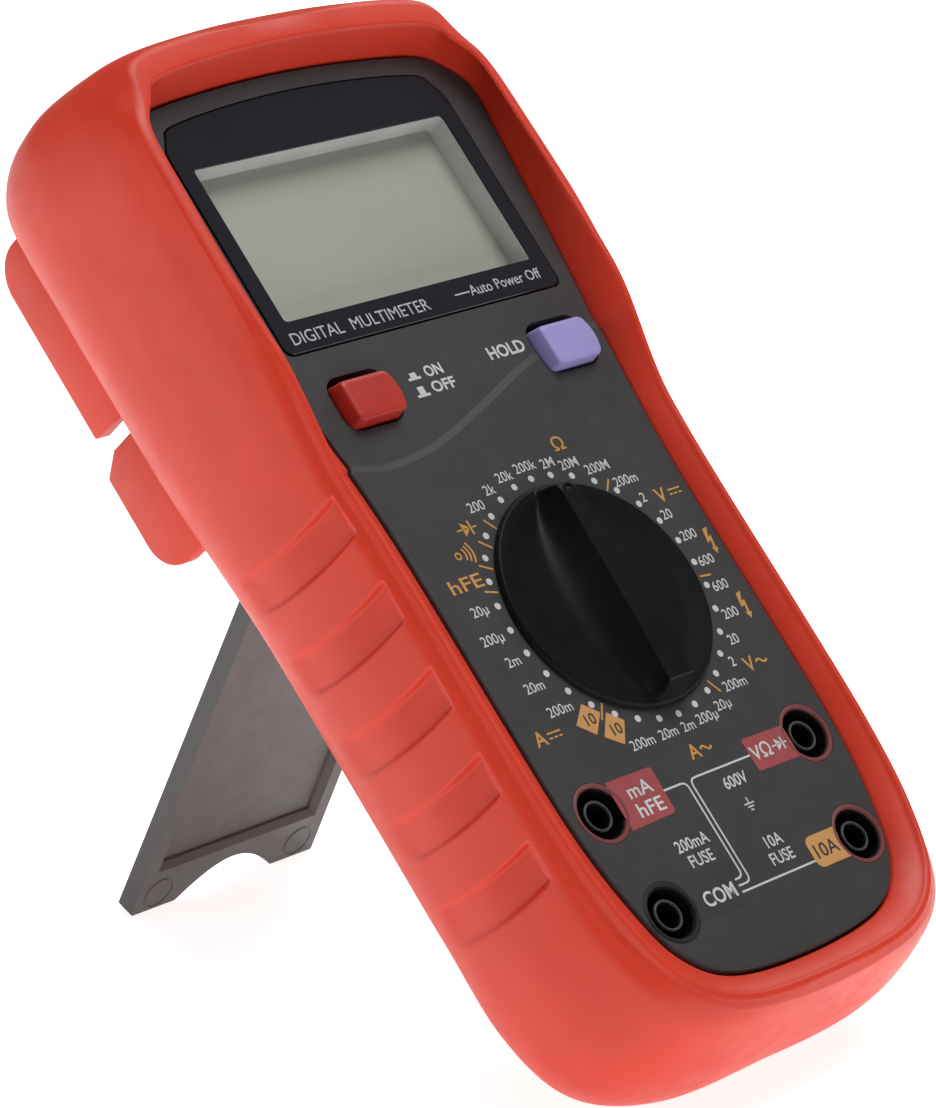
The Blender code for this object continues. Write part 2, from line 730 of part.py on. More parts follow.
def build_fuse(name, centre, length, radius):
    x, y, z = centre
    cap = radius + 0.25
    profile = [
        (0, length), (cap, length), (cap, length - 5), (radius, length - 5),
        (radius, 5), (cap, 5), (cap, 0), (0, 0),
    ]
    turned(name, profile, (x - length / 2, y, z), "glass", 12, "X")
    for index, end in enumerate((-1, 1)):
        middle = x + end * (length / 2 - 2.5)
        inner, outer = cap + 0.3, cap + 0.8
        cup = arc((y, z), outer, 35, -215, 10) + arc((y, z), inner, -215, 35, 10)
        slab(f"{name}_clip_{index + 1}", cup, middle - 1.6, middle + 1.6, "brass", plane="YZ")


def build_board_parts():
    build_fuse("fuse_milliamp", (-8, -38, -17.0), 20.0, 2.5)
    build_fuse("fuse_ten_amp", (-3, -51, -17.6), 26.0, 3.0)
    span = [(x, -26.0, -13.2 - 5.0 * math.sin(math.pi * (x + 16) / 32)) for x in range(-16, 17, 4)]
    wire("shunt_wire", span, 0.8, "brass")
    resin_blob = [(0, -12.7), (8.5, -12.7), (7.8, -13.6), (5, -14.3), (0, -14.6)]
    turned("measuring_chip", resin_blob, (0, 40, 0), "rubber_black", 20)
    for index, y in enumerate((12, 22)):
        box(f"trimmer_{index + 1}", (18, y, -16.6), (24.5, y + 6.5, BOARD_UNDER - 0.3), "battery_wrap")
    turned("piezo_buzzer", disc_profile(12.5, -29.4, -30.5), (0, 8, 0), "brass", 24)


def build_battery():
    box("battery_9v", BATTERY_LOW, BATTERY_HIGH, "battery_wrap", 1.2)
    x = BATTERY_HIGH[0] + GAP
    box("battery_snap", (x, 65.5, -28.4), (x + 3.0, 89.5, -15.2), "rubber_black", 0.6)
    for index, (name, shift) in enumerate((("battery_lead_red", 0.0), ("battery_lead_black", 3.0))):
        route = [
            (26.2 + shift / 3, 65.1, -20 - shift), (26.6, 62.5, -20 - shift),
            (28.4, 58.0 - shift, -19), (29.6, 53.5 - shift, -17.0),
            (30.0, 50.5 - shift * 1.5, -14.8), (30.0, 50.0 - shift * 1.5, -12.75),
        ]
        wire(name, route, 0.65, "lead_red" if index == 0 else "rubber_black")


# ---------------------------------------------------------------- tilt stand

def stand_outline():
    """The stand seen from behind when folded: s runs from the hinge to the feet."""
    steps = 13
    notch = []
    for step in range(steps + 1):
        turn = math.pi * step / steps
        x = NOTCH_HALF * (1 - 2 * step / steps)
        notch.append((x, STAND_LENGTH - NOTCH_DEPTH * math.sin(turn)))
    right = [
        (20.0, -STAND_TAIL), (21.6, -STAND_TAIL), (22.6, 40),
        (23.4, STAND_LENGTH - 2.8), (20.8, STAND_LENGTH),
    ]
    left = [(-x, s) for x, s in reversed(right)]
    return right + notch + left


def build_stand(hinge, ground):
    """The plate lies open by STAND_OPEN from the back, with a raised rim round a thin panel."""
    rings = [[(x, -s, depth) for x, s in stand_outline()] for depth in (-STAND_THICK / 2, STAND_THICK / 2)]
    stand = loft("tilt_stand", rings, "stand_brown", 30)
    rim = slab("stand_rim", [(-21.6, -5), (-22.6, -84), (22.6, -84), (21.6, -5)], 0.0, STAND_RIM, None)
    panel = box("stand_panel", (-20.6, -82.0, -0.1), (20.6, -8.0, 5.0), None)
    pins = turned("stand_pins", disc_profile(PIN_RADIUS, 53.4, 0), (-26.7, 0, 0), None, 16, "X")
    for obj in (stand, rim, panel, pins):
        place(obj, hinge)
    join(stand, pins, rim)
    cut(stand, panel, ground)
    return stand


def make_empty(name, parent, location, turn=0.0):
    empty = bpy.data.objects.new(name, None)
    PARTS.objects.link(empty)
    empty.location = Vector(location) * MM
    empty.rotation_euler = (turn, 0, 0)
    empty.parent = parent
    return empty


def stand_on_ground():
    """Puts the origin under the middle of the whole object, at the height of what it rests on."""
    bpy.context.view_layer.update()
    graph = bpy.context.evaluated_depsgraph_get()
    points = []
    for obj in PARTS.objects:
        if obj.type == "MESH":
            shown = obj.evaluated_get(graph)
            points += [shown.matrix_world @ vert.co for vert in shown.data.vertices]
    ys = [point.y for point in points]
    FRAME.location = (0, -(min(ys) + max(ys)) / 2, -min(point.z for point in points))


def main():
    ground = ground_cutter()
    build_holster(ground)
    build_front_case()
    build_rear_case()
    build_battery_door()
    build_screws()
    build_display()
    build_selector()
    build_button("power", "power_red")
    build_button("hold", "hold_lavender")
    build_jacks()
    build_board()
    build_board_parts()
    build_battery()
    hinge = make_empty("stand_hinge", FRAME, (0, HINGE_Y, HINGE_Z), STAND_OPEN)
    build_stand(hinge, ground)
    stand_on_ground()


clear_scene()
PARTS = make_collection("bench_multimeter")
CUTTERS = make_collection("cutters")
FRAME = make_empty("meter_frame", None, (0, 0, 0), LEAN)
main()
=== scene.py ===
"""Looks for the bench multimeter: a coral rubber holster, a printed dark face, and plain studio light.

Pieces are drawn in the meter's own flat frame, in millimetres: x to the right, y up the meter,
z out of the face, with the origin on the centre line beside the selector's axis. The stand has a
flat frame of its own at its hinge. place_mesh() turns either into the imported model's frame, whose
place and lean are read from the joints.
"""

import json
import math

import bmesh
import bpy
from mathutils import Matrix, Vector


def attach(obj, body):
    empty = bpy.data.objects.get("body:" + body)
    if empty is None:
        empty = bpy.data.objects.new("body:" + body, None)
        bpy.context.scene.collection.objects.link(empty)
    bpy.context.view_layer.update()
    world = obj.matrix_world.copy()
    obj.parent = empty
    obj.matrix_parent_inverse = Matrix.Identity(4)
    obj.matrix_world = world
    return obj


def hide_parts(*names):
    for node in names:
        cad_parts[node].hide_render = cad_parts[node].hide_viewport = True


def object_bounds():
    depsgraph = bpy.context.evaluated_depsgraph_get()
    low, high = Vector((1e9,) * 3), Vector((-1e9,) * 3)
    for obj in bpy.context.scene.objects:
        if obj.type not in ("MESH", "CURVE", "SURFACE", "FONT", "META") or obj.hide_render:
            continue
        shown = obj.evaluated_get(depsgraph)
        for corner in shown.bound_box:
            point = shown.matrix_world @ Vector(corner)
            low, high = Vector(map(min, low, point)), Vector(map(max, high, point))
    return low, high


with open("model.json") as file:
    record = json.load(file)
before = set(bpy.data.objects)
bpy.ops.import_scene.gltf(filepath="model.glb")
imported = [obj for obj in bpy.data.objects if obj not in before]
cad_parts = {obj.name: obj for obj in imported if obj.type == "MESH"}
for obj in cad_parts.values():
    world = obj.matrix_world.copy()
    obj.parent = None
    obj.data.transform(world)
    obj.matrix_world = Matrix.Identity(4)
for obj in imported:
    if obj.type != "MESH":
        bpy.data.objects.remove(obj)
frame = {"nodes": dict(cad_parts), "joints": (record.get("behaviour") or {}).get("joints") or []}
CAD_LOW, CAD_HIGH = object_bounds()

MM = 0.001
JOINTS = {joint["name"]: joint for joint in frame["joints"]}
DIAL = Vector(JOINTS["selector_turn"]["pos_m"])
DIAL_X = DIAL.x / MM
FACE_ORIGIN = Vector((0, DIAL.y, DIAL.z))
FACE_NORMAL = Vector(JOINTS["selector_turn"]["axis"])
LEAN = math.atan2(-FACE_NORMAL.y, FACE_NORMAL.z)
FLAT_TO_WORLD = Matrix.Translation(FACE_ORIGIN) @ Matrix.Rotation(LEAN, 4, "X") @ Matrix.Scale(MM, 4)
HINGE = Vector(JOINTS["stand_hinge"]["pos_m"])
STAND_OPEN = -math.radians(JOINTS["stand_hinge"]["range_deg"][0])
STAND_TO_WORLD = Matrix.Translation(HINGE) @ Matrix.Rotation(LEAN + STAND_OPEN, 4, "X") @ Matrix.Scale(MM, 4)

# Half outlines from the bottom centre to the top centre: the holster's opening, the crest of its
# lip and its side wall, station by station.
OPENING = [
    (0, -69.7), (19, -67.9), (28.0, -61.6), (32.0, -51.0), (34.4, -36), (34.8, -15), (34.8, 8),
    (35.2, 24), (36.4, 38), (37.9, 53), (39.6, 70), (41.4, 88), (42.2, 98.5), (38.6, 104.0),
    (32.8, 107.4), (17, 109.2), (0, 109.8),
]
CREST = [
    (0, -73.6), (20.5, -72.1), (31.2, -65.6), (36.2, -53.5), (38.2, -37), (38.6, -15), (38.6, 8),
    (38.9, 24), (39.9, 38), (40.9, 53), (41.3, 70), (41.0, 88), (40.3, 100.2), (37.0, 105.8),
    (32.6, 109.8), (17, 111.8), (0, 112.4),
]
SIDE = [
    (0, -79.2), (22.5, -78.5), (36.8, -72.3), (43.2, -58.5), (44.4, -38), (44.5, -15), (44.5, 8),
    (44.7, 24), (45.7, 38), (46.9, 53), (47.1, 70), (47.1, 88), (46.7, 103.5), (43.6, 114.8),
    (34.5, 120.6), (17, 122.8), (0, 123.3),
]
GAP = 0.35
HOLSTER_WALL = 5.0
HOOD_WALL = 3.0
FACE_UNDER = -2.6
CASE_SPLIT = -16.0
HOLSTER_INNER_BACK = -33.2
HOLSTER_BACK = -35.7
GRIP_CREST = 2.4
HOOD_CREST = 6.4
HOOD_START = 30.0
HOOD_FULL = 57.0
NOTCH_LEFT = 34.5
NOTCH_RIGHT = 47.6
NOTCH_STEP = 0.8
NOTCH_FADE = 9.0
LIP_END = 1.35
GROOVE_DEPTH = 1.25

PAD_COUNT = 5
PAD_TOP = 27.5
PAD_PITCH = 16.25
PAD_HALF = 3.4
PAD_SAG = 1.4
PAD_MIDDLE = -12.5
PAD_BACK = -28.0

DIAL_RADIUS = 23.8
DIAL_PRINT_X = 1.2
DIAL_START = 79.78
DIAL_STEP = 11.25
PRINT_UNDER = -0.01
PRINT_TOP = 0.05
PRINT_DEPTH = 0.06
OVERPRINT_TOP = PRINT_TOP + 0.04

WINDOW_HALF_WIDTH = 30.6
WINDOW_BOTTOM = 63.2
WINDOW_TOP = 94.6
WINDOW_MIDDLE = (0, (WINDOW_BOTTOM + WINDOW_TOP) / 2)
WINDOW_HALF_HEIGHT = (WINDOW_TOP - WINDOW_BOTTOM) / 2
LENS_SIDE = 34.0
LENS_BOTTOM = 57.2
LENS_RECESS = -1.85
LCD_TOP = -4.8
WELL_TOP = -0.41
WELL_STEP = 0.06

KNOB_RADIUS = 22.0
BUTTON_Y = 46.1
BUTTON_HALF = (7.1, 5.3)
BUTTON_HOLE_SHIFT = 0.4
BUTTON_X = {"power": -23.8, "hold": 25.5}
JACKS = {
    "milliamp": (-26.4, -34.9),
    "volt_ohm": (26.4, -34.9),
    "common": (-24.3, -54.5),
    "ten_amp": (24.3, -54.5),
}
JACK_RING = 5.6
JACK_WELL = 4.75
JACK_BOTTOM = -21.0
HOLE_UNDER = -6
JACK_HOLE_UNDER = -24
ABOVE_FACE = 3


# ---- materials

NOISE_LOW = 0.3
NOISE_HIGH = 0.7
UNEVEN = 0.12
WEAR_FINENESS = 3.7


def noise(tree, coordinates, scale, detail=3.0):
    node = tree.nodes.new("ShaderNodeTexNoise")
    node.inputs["Scale"].default_value = scale
    node.inputs["Detail"].default_value = detail
    tree.links.new(coordinates, node.inputs["Vector"])
    return node.outputs["Fac"]


def ranged(tree, value, low, high):
    """The value, spread from the middle of its noise to low and high."""
    node = tree.nodes.new("ShaderNodeMapRange")
    node.inputs["From Min"].default_value = NOISE_LOW
    node.inputs["From Max"].default_value = NOISE_HIGH
    node.inputs["To Min"].default_value = low
    node.inputs["To Max"].default_value = high
    tree.links.new(value, node.inputs["Value"])
    return node.outputs["Result"]


def blended_colour(tree, share, first, second):
    """A colour between first and second; the mix node's colour sockets are 6, 7 and 2."""
    node = tree.nodes.new("ShaderNodeMix")
    node.data_type = "RGBA"
    node.inputs[6].default_value = (*first, 1)
    node.inputs[7].default_value = (*second, 1)
    tree.links.new(share, node.inputs[0])
    return node.outputs[2]


def surface(name, colour, roughness, grain=0.25, depth=0.02, spread=0.08, cloud=14.0, shine=0.5, **settings):
    """A moulded or worked surface: cloudy colour, uneven roughness and a fine grain of size grain mm."""
    made = bpy.data.materials.new(name)
    made.use_nodes = True
    tree = made.node_tree
    shader = tree.nodes["Principled BSDF"]
    coordinates = tree.nodes.new("ShaderNodeTexCoord").outputs["Object"]
    dark = [channel * (1 - spread) for channel in colour]
    light = [min(channel * (1 + spread), 1.0) for channel in colour]
    patches = ranged(tree, noise(tree, coordinates, 1 / (cloud * MM)), 0.0, 1.0)
    tree.links.new(blended_colour(tree, patches, dark, light), shader.inputs["Base Color"])
    wear = noise(tree, coordinates, WEAR_FINENESS / (cloud * MM), 6.0)
    uneven = ranged(tree, wear, roughness * (1 - UNEVEN), roughness * (1 + UNEVEN))
    tree.links.new(uneven, shader.inputs["Roughness"])
    bump = tree.nodes.new("ShaderNodeBump")
    bump.inputs["Strength"].default_value = 0.6
    bump.inputs["Distance"].default_value = depth * MM
    tree.links.new(noise(tree, coordinates, 1 / (grain * MM), 2.0), bump.inputs["Height"])
    tree.links.new(bump.outputs["Normal"], shader.inputs["Normal"])
    shader.inputs["Specular IOR Level"].default_value = shine
    for socket, value in settings.items():
        shader.inputs[socket].default_value = value
    made.diffuse_color = (*colour, 1)
    return made


MATERIALS = {
    "holster": surface(
        "coral_rubber", (0.62, 0.038, 0.015), 0.44, grain=0.3, depth=0.010, spread=0.04, shine=0.36,
    ),
    "face": surface(
        "face_grey", (0.040, 0.038, 0.039), 0.46, grain=0.22, depth=0.015, spread=0.05, shine=0.3,
    ),
    "stand": surface("stand_grey_brown", (0.050, 0.046, 0.044), 0.42, grain=0.35, depth=0.012),
    "knob": surface("knob_black", (0.0040, 0.0040, 0.0045), 0.44, depth=0.006, shine=0.12),
    # Near-black: the real pointer ring on the knob, and painted shade on the button flanges and inside the
    # jacks.
    "mark_black_and_painted_shade": surface("mark_black_and_painted_well_shade", (0.004, 0.004, 0.004), 0.6, shine=0.08),
    "jack_red": surface("jack_red", (0.17, 0.042, 0.045), 0.5, shine=0.3),
    "jack_black": surface("jack_dark_grey", (0.014, 0.014, 0.015), 0.5, shine=0.2),
    "tube": surface("contact_tube", (0.050, 0.050, 0.050), 0.5, shine=0.3),
    "power": surface("power_red", (0.42, 0.026, 0.017), 0.40, shine=0.35),
    "hold": surface("hold_lavender", (0.30, 0.265, 0.55), 0.42, shine=0.35),
    "lens": surface("lens_border", (0.012, 0.012, 0.017), 0.18, depth=0.002, shine=0.4),
    "lcd": surface("lcd_glass", (0.335, 0.345, 0.295), 0.35, depth=0.002, spread=0.03, cloud=40.0),
    "frame": surface("bezel_grey", (0.50, 0.51, 0.50), 0.5),
    "white_print": surface("white_ink", (0.50, 0.50, 0.50), 0.5, spread=0.05),
    "orange_print": surface("orange_ink", (0.47, 0.235, 0.050), 0.5, spread=0.06),
    "orange_patch": surface("orange_patch_ink", (0.50, 0.25, 0.080), 0.5, spread=0.05),
    "red_patch": surface("red_patch_ink", (0.29, 0.048, 0.055), 0.5, spread=0.05),
    "dark_patch": surface("dark_patch_ink", (0.024, 0.023, 0.025), 0.5, spread=0.05),
    "silver_print": surface("silver_ink", (0.42, 0.42, 0.44), 0.4, spread=0.05),
    "brass": surface("drawn_brass", (0.60, 0.42, 0.17), 0.28, Metallic=1.0),
    "steel": surface("plated_steel", (0.58, 0.58, 0.59), 0.3, Metallic=1.0),
    "board": surface("solder_mask", (0.02, 0.15, 0.06), 0.35),
    "resin": surface("black_resin", (0.02, 0.02, 0.02), 0.55),
    "white_plastic": surface("switch_white", (0.66, 0.66, 0.62), 0.5),
    "blue_wrap": surface("battery_wrap", (0.07, 0.11, 0.28), 0.35),
    "lead_red": surface("lead_red", (0.48, 0.02, 0.02), 0.45),
    "fuse_glass": surface("fuse_glass", (0.62, 0.67, 0.66), 0.12, Alpha=0.55),
}


# ---- mesh helpers

def inside_box(point):
    """The point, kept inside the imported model's box."""
    return Vector(min(max(value, low), high) for value, low, high in zip(point, CAD_LOW, CAD_HIGH))


def linked(name, data):
    """A new object of a mesh, a curve, a light or a camera, in the scene."""
    obj = bpy.data.objects.new(name, data)
    bpy.context.scene.collection.objects.link(obj)
    return obj


def mesh_of(shape, name):
    mesh = bpy.data.meshes.new(name)
    shape.to_mesh(mesh)
    shape.free()
    return mesh


def place_mesh(shape, name, to_world):
    """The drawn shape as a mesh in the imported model's frame, with its faces pointing out."""
    bmesh.ops.recalc_face_normals(shape, faces=shape.faces)
    for vert in shape.verts:
        vert.co = inside_box(to_world @ vert.co)
    return mesh_of(shape, name)


def piece_from(name, shape, look, body="meter", nodes=(), smooth=40, stand=False):
    """A finished piece on its body; edges sharper than smooth degrees stay sharp."""
    mesh = place_mesh(shape, name, STAND_TO_WORLD if stand else FLAT_TO_WORLD)
    mesh.materials.append(MATERIALS[look])
    mesh.shade_smooth()
    mesh.set_sharp_from_angle(angle=math.radians(smooth))
    piece = linked(name, mesh)
    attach(piece, body)
    if nodes:
        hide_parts(*nodes)


def join_rings(shape, first, second):
    """A band of faces between two closed rings of vertices."""
    for index in range(len(first)):
        following = (index + 1) % len(first)
        shape.faces.new((first[index], first[following], second[following], second[index]))


def loft_shape(rings):
    """A closed skin through rings of equal numbers of points, capped at both ends."""
    shape = bmesh.new()
    rows = [[shape.verts.new(point) for point in ring] for ring in rings]
    for lower, upper in zip(rows, rows[1:]):
        join_rings(shape, lower, upper)
    shape.faces.new(rows[0])
    shape.faces.new(rows[-1])
    return shape


def slab_shape(outline, low, high):
    """An outline raised between two heights."""
    return loft_shape([[(x, y, level) for x, y in outline] for level in (low, high)])


def turned_shape(profile, centre, steps=64):
    """A ring turned about an axis at centre: (radius, height) points of a closed profile."""
    shape = bmesh.new()
    rows = []
    for step in range(steps):
        angle = 2 * math.pi * step / steps
        across = Vector((math.cos(angle), math.sin(angle), 0))
        spots = [Vector((*centre, height)) + across * radius for radius, height in profile]
        rows.append([shape.verts.new(spot) for spot in spots])
    for step, row in enumerate(rows):
        join_rings(shape, row, rows[(step + 1) % steps])
    return shape


def add_shape(target, source):
    """Adds a second shape's faces to the first."""
    mesh = mesh_of(source, "joined")
    target.from_mesh(mesh)
    bpy.data.meshes.remove(mesh)
    return target


def temporary(shape):
    """An object of a shape, for one Boolean."""
    bmesh.ops.recalc_face_normals(shape, faces=shape.faces)
    return linked("cutter", mesh_of(shape, "cutter"))


def taken_from(obj):
    """The shape of an object after its modifiers, or of a text; the object goes."""
    bpy.context.view_layer.update()
    graph = bpy.context.evaluated_depsgraph_get()
    mesh = bpy.data.meshes.new_from_object(obj.evaluated_get(graph))
    bpy.data.objects.remove(obj)
    shape = bmesh.new()
    shape.from_mesh(mesh)
    bpy.data.meshes.remove(mesh)
    return shape


def carve(shape, cutters, operation="DIFFERENCE", bevel=0.0):
    """The shape after each Boolean in turn and, last, its edges rounded by bevel."""
    body = temporary(shape)
    others = [temporary(cutter) for cutter in cutters]
    for other in others:
        step = body.modifiers.new("cut", "BOOLEAN")
        step.operation = operation
        step.solver = "EXACT"
        step.object = other
    if bevel:
        rounding = body.modifiers.new("rounding", "BEVEL")
        rounding.width = bevel
        rounding.segments = 2
        rounding.limit_method = "ANGLE"
        rounding.angle_limit = math.radians(35)
    result = taken_from(body)
    for other in others:
        bpy.data.objects.remove(other)
    return result


# ---- outlines

def blend(low, high, value):
    """0 below low, 1 above high, with a smooth change between."""
    share = min(max((value - low) / (high - low), 0.0), 1.0)
    return share * share * (3 - 2 * share)


def spline_point(before, here, after, beyond, t):
    """A Catmull-Rom curve's point between here and after."""
    return 0.5 * (
        2 * here
        + (after - before) * t
        + (2 * before - 5 * here + 4 * after - beyond) * t * t
        + (3 * here - before - 3 * after + beyond) * t ** 3
    )


def open_curve(knots, parts):
    """A curve through the knots, with parts[i] points on span i, that ends on the last knot."""
    knots = [Vector(knot) for knot in knots]
    points = []
    for index, count in enumerate(parts):
        before = knots[max(index - 1, 0)]
        beyond = knots[min(index + 2, len(knots) - 1)]
        here, after = knots[index], knots[index + 1]
        points += [spline_point(before, here, after, beyond, step / count) for step in range(count)]
    return points + [knots[-1]]


def closed_knots(half):
    return [Vector(point) for point in list(half) + [(-x, y) for x, y in half[-2:0:-1]]]


def span_steps():
    """Points on each span of the outlines: close together along the grip pads, wider elsewhere."""
    knots = closed_knots(SIDE)
    steps = []
    for index, here in enumerate(knots):
        after = knots[(index + 1) % len(knots)]
        on_grip = min(here.y, after.y) > -60 and max(here.y, after.y) < 40
        steps.append(max(4, round((after - here).length / (0.34 if on_grip else 1.0))))
    return steps


STEPS = span_steps()


def smooth_loop(half, steps=None):
    """The closed curve through a half outline and its mirror image."""
    knots = closed_knots(half)
    count = len(knots)
    points = []
    for index, parts in enumerate(steps or STEPS):
        around = [knots[(index + shift) % count] for shift in (-1, 0, 1, 2)]
        points += [spline_point(*around, step / parts) for step in range(parts)]
    return points


def inset(outline, distance):
    """The outline moved inwards along its own normals; distance is a number or a function of y."""
    moved = []
    for index, point in enumerate(outline):
        along = (outline[(index + 1) % len(outline)] - outline[index - 1]).normalized()
        reach = distance(point.y) if callable(distance) else distance
        moved.append(Vector((point.x - along.y * reach, point.y + along.x * reach)))
    return moved


def notched(outline):
    """The opening, which steps in above a notch on each side, where the face's crease ends."""
    points = []
    for point in outline:
        start = NOTCH_LEFT if point.x < 0 else NOTCH_RIGHT
        above = point.y - start
        step = NOTCH_STEP * blend(-0.5, 0.5, above) * math.exp(-max(above, 0.0) / NOTCH_FADE)
        if abs(point.x) < 20:
            step = 0.0
        points.append(Vector((point.x - math.copysign(step, point.x), point.y)))
    return points


def holster_wall(y):
    return HOLSTER_WALL - (HOLSTER_WALL - HOOD_WALL) * blend(HOOD_START, 75.0, y)


def inside_holster(extra, steps=None):
    """The holster's inner wall, moved inwards by extra."""
    return inset(smooth_loop(SIDE, steps), lambda y: holster_wall(y) + extra)


def level(outline, z):
    """An outline at a height."""
    return [(point[0], point[1], z) for point in outline]


def box_outline(left, bottom, right, top):
    return [(left, bottom), (right, bottom), (right, top), (left, top)]


def rounded_rectangle(half_x, half_y, radius, centre=(0, 0)):
    points = []
    for start, right, up in ((0, 1, 1), (90, -1, 1), (180, -1, -1), (270, 1, -1)):
        middle = (centre[0] + right * (half_x - radius), centre[1] + up * (half_y - radius))
        points += arc(middle, radius, start, start + 90, 8)
    return points


def arc(centre, radius, start, end, steps):
    angles = [math.radians(start + (end - start) * step / steps) for step in range(steps + 1)]
    return [(centre[0] + radius * math.cos(a), centre[1] + radius * math.sin(a)) for a in angles]


def circle(centre, radius, steps=32):
    return arc(centre, radius, 0, 360 - 360 / steps, steps - 1)


# ---- holster

def crest_height(y):
    return GRIP_CREST + (HOOD_CREST - GRIP_CREST) * blend(HOOD_START, HOOD_FULL, y)


def lip_section(opening, crest, side):
    """The lip of the holster at one station, from the face up over the bead and down into its groove.

    The bead and its groove fade out along the hood, where the lip rolls over in one curve.
    """
    y = crest.y
    height = crest_height(y)
    top = blend(103.0, 109.5, y)
    width = 1.1 + 3.1 * top
    share = (1 - blend(42.0, 74.0, y)) * (1 - 0.85 * blend(-52.0, -68.0, y))
    out = (side - crest).normalized()
    wall = crest - opening
    points = [(opening, FACE_UNDER), (opening, -1.2), (opening + wall * 0.06, -0.3)]
    points.append((opening + wall * 0.80, height - 0.95))
    for reach, drop in ((-0.28, 0.5), (-0.05, 0.17), (0.22, 0.02), (0.5, 0.0)):
        points.append((crest + out * reach, height - drop))
    beaded = (0.0, 0.12, 0.38, 0.6 + 0.55 * GROOVE_DEPTH, 0.85 + GROOVE_DEPTH, 1.1 + 1.05 * GROOVE_DEPTH)
    plain = (0.02, 0.06, 0.12, 0.20, 0.40, 0.78)
    for reach, bead, smooth in zip((-0.35, -0.1, 0.12, 0.34, 0.75, LIP_END), beaded, plain):
        points.append((crest + out * (width + reach), height - bead * share - smooth * (1 - share)))
    return points, width


def shoulder_section(crest, side, width, foot):
    """The wall outside the groove: it bulges out and down to the side and on towards the back."""
    height = crest_height(crest.y)
    span = (side - crest).length
    out = (side - crest).normalized()
    start = min((width + LIP_END) / span, 0.5)
    knots = [
        (start * span, foot), (max(0.57, start + 0.15) * span, height - 4.0),
        (0.82 * span, height - 10.0), (span, -14.5), (span, -21.0), (span - 1.0, -27.0),
        (span - 3.4, -32.2), (span - 6.2, -34.8), (span - 9.5, HOLSTER_BACK),
    ]
    rows = open_curve(knots, (10, 12, 8, 6, 6, 6, 6, 6))[1:]
    return [(crest + out * row.x, row.y) for row in rows]


def pad_depth(x, y, z):
    """How far the wall is sunk at a point: five grip pads on each side, deepest next to the bead."""
    if abs(x) < 36 or z < PAD_BACK:
        return 0.0
    y += PAD_SAG * max(0.0, 1 - ((z - PAD_MIDDLE) / PAD_MIDDLE) ** 2)
    nearest = min(range(PAD_COUNT), key=lambda index: abs(y - PAD_TOP + PAD_PITCH * index))
    across = abs(y - PAD_TOP + PAD_PITCH * nearest)
    front = -1.3 + 0.035 * y
    along = (1 - blend(front - 0.5, front + 0.5, z)) * blend(PAD_BACK, -23.0, z)
    sunk = 0.55 + 1.05 * blend(-18.0, -3.0, z)
    return sunk * (1 - blend(PAD_HALF - 0.35, PAD_HALF + 0.6, across)) * along


def sunk_wall(spots, heights, out):
    """The wall's points after the first, each pushed in along the wall's normal by the grip pads."""
    wall = []
    for index in range(1, len(spots)):
        ahead = min(index + 1, len(spots) - 1)
        run = (spots[ahead] - spots[index - 1]).dot(out)
        fall = heights[ahead] - heights[index - 1]
        tangent = Vector((run, fall)).normalized()
        depth = pad_depth(spots[index].x, spots[index].y, heights[index])
        spot = spots[index] + out * tangent.y * depth
        wall.append((spot, heights[index] - tangent.x * depth))
    return wall


def holster_columns():
    """The holster's outer skin: at each station, its points from the face round to the back."""
    openings, crests, sides = notched(smooth_loop(OPENING)), smooth_loop(CREST), smooth_loop(SIDE)
    columns = []
    for opening, crest, side in zip(openings, crests, sides):
        lip, width = lip_section(opening, crest, side)
        wall = shoulder_section(crest, side, width, lip[-1][1])
        spots, heights = zip(*(lip[-1:] + wall))
        columns.append(lip + sunk_wall(spots, heights, (side - crest).normalized()))
    return columns


CLIP_PAIRS = ((35.8, 39.4, 42.8), (24.3, 27.3, 34.5))
CLIP_RADIUS = 7.0
CLIP_EDGE = 0.45


def clip_outline(low, high, depth, rounded_end):
    """A probe clip's wall seen from the side, as (y, z), with one end rounded."""
    root = HOLSTER_BACK + 1.5
    middle = CLIP_RADIUS - depth
    if rounded_end == "high":
        curve = arc((high - CLIP_RADIUS, middle), CLIP_RADIUS, -90, 0, 12)
        return [(low, root), (low, -depth)] + curve + [(high, root)]
    curve = arc((low + CLIP_RADIUS, middle), CLIP_RADIUS, 180, 270, 12)
    return [(low, root)] + curve + [(high - 3.0, -depth), (high, -depth + 5.0), (high, root)]


def clip_walls():
    """The probe clips' walls: an upper and a lower one for each wall of CLIP_PAIRS, on both sides."""
    for side in (-1, 1):
        for inner, outer, low_end in CLIP_PAIRS:
            low, high = sorted((side * inner, side * outer))
            upper = clip_outline(70.5, 107.5, 45.7, "high")
            lower = clip_outline(low_end, 66.8, 48.0, "low")
            for outline in (upper, lower):
                yield loft_shape([[(x, y, z) for y, z in outline] for x in (low, high)])


def build_holster():
    inner = [level(inside_holster(4.5), HOLSTER_INNER_BACK), level(inside_holster(0), -24.0)]
    inner.append(level(inside_holster(0), FACE_UNDER))
    outer = [[(*spot, height) for spot, height in row] for row in zip(*holster_columns())]
    shape = loft_shape(inner + outer)
    for wall in clip_walls():
        add_shape(shape, carve(wall, [], bevel=CLIP_EDGE))
    piece_from("holster_shell", shape, "holster", nodes=["holster"], smooth=60)


# ---- face

CREASE = [
    (-35.6, 34.4), (-28.0, 32.7), (-19.4, 33.1), (-12.0, 34.6), (-4.0, 37.1), (5.0, 40.2), (13.0, 43.0),
    (26.0, 46.6), (38.0, 47.4),
]
CREASE_DROP = 0.24
CREASE_WIDTH = 1.4


def crease_line(shift):
    """The crease across the face, from left to right, moved up the face by shift."""
    points = open_curve(CREASE, [6] * (len(CREASE) - 1))
    return [point + Vector((0, shift)) for point in points]


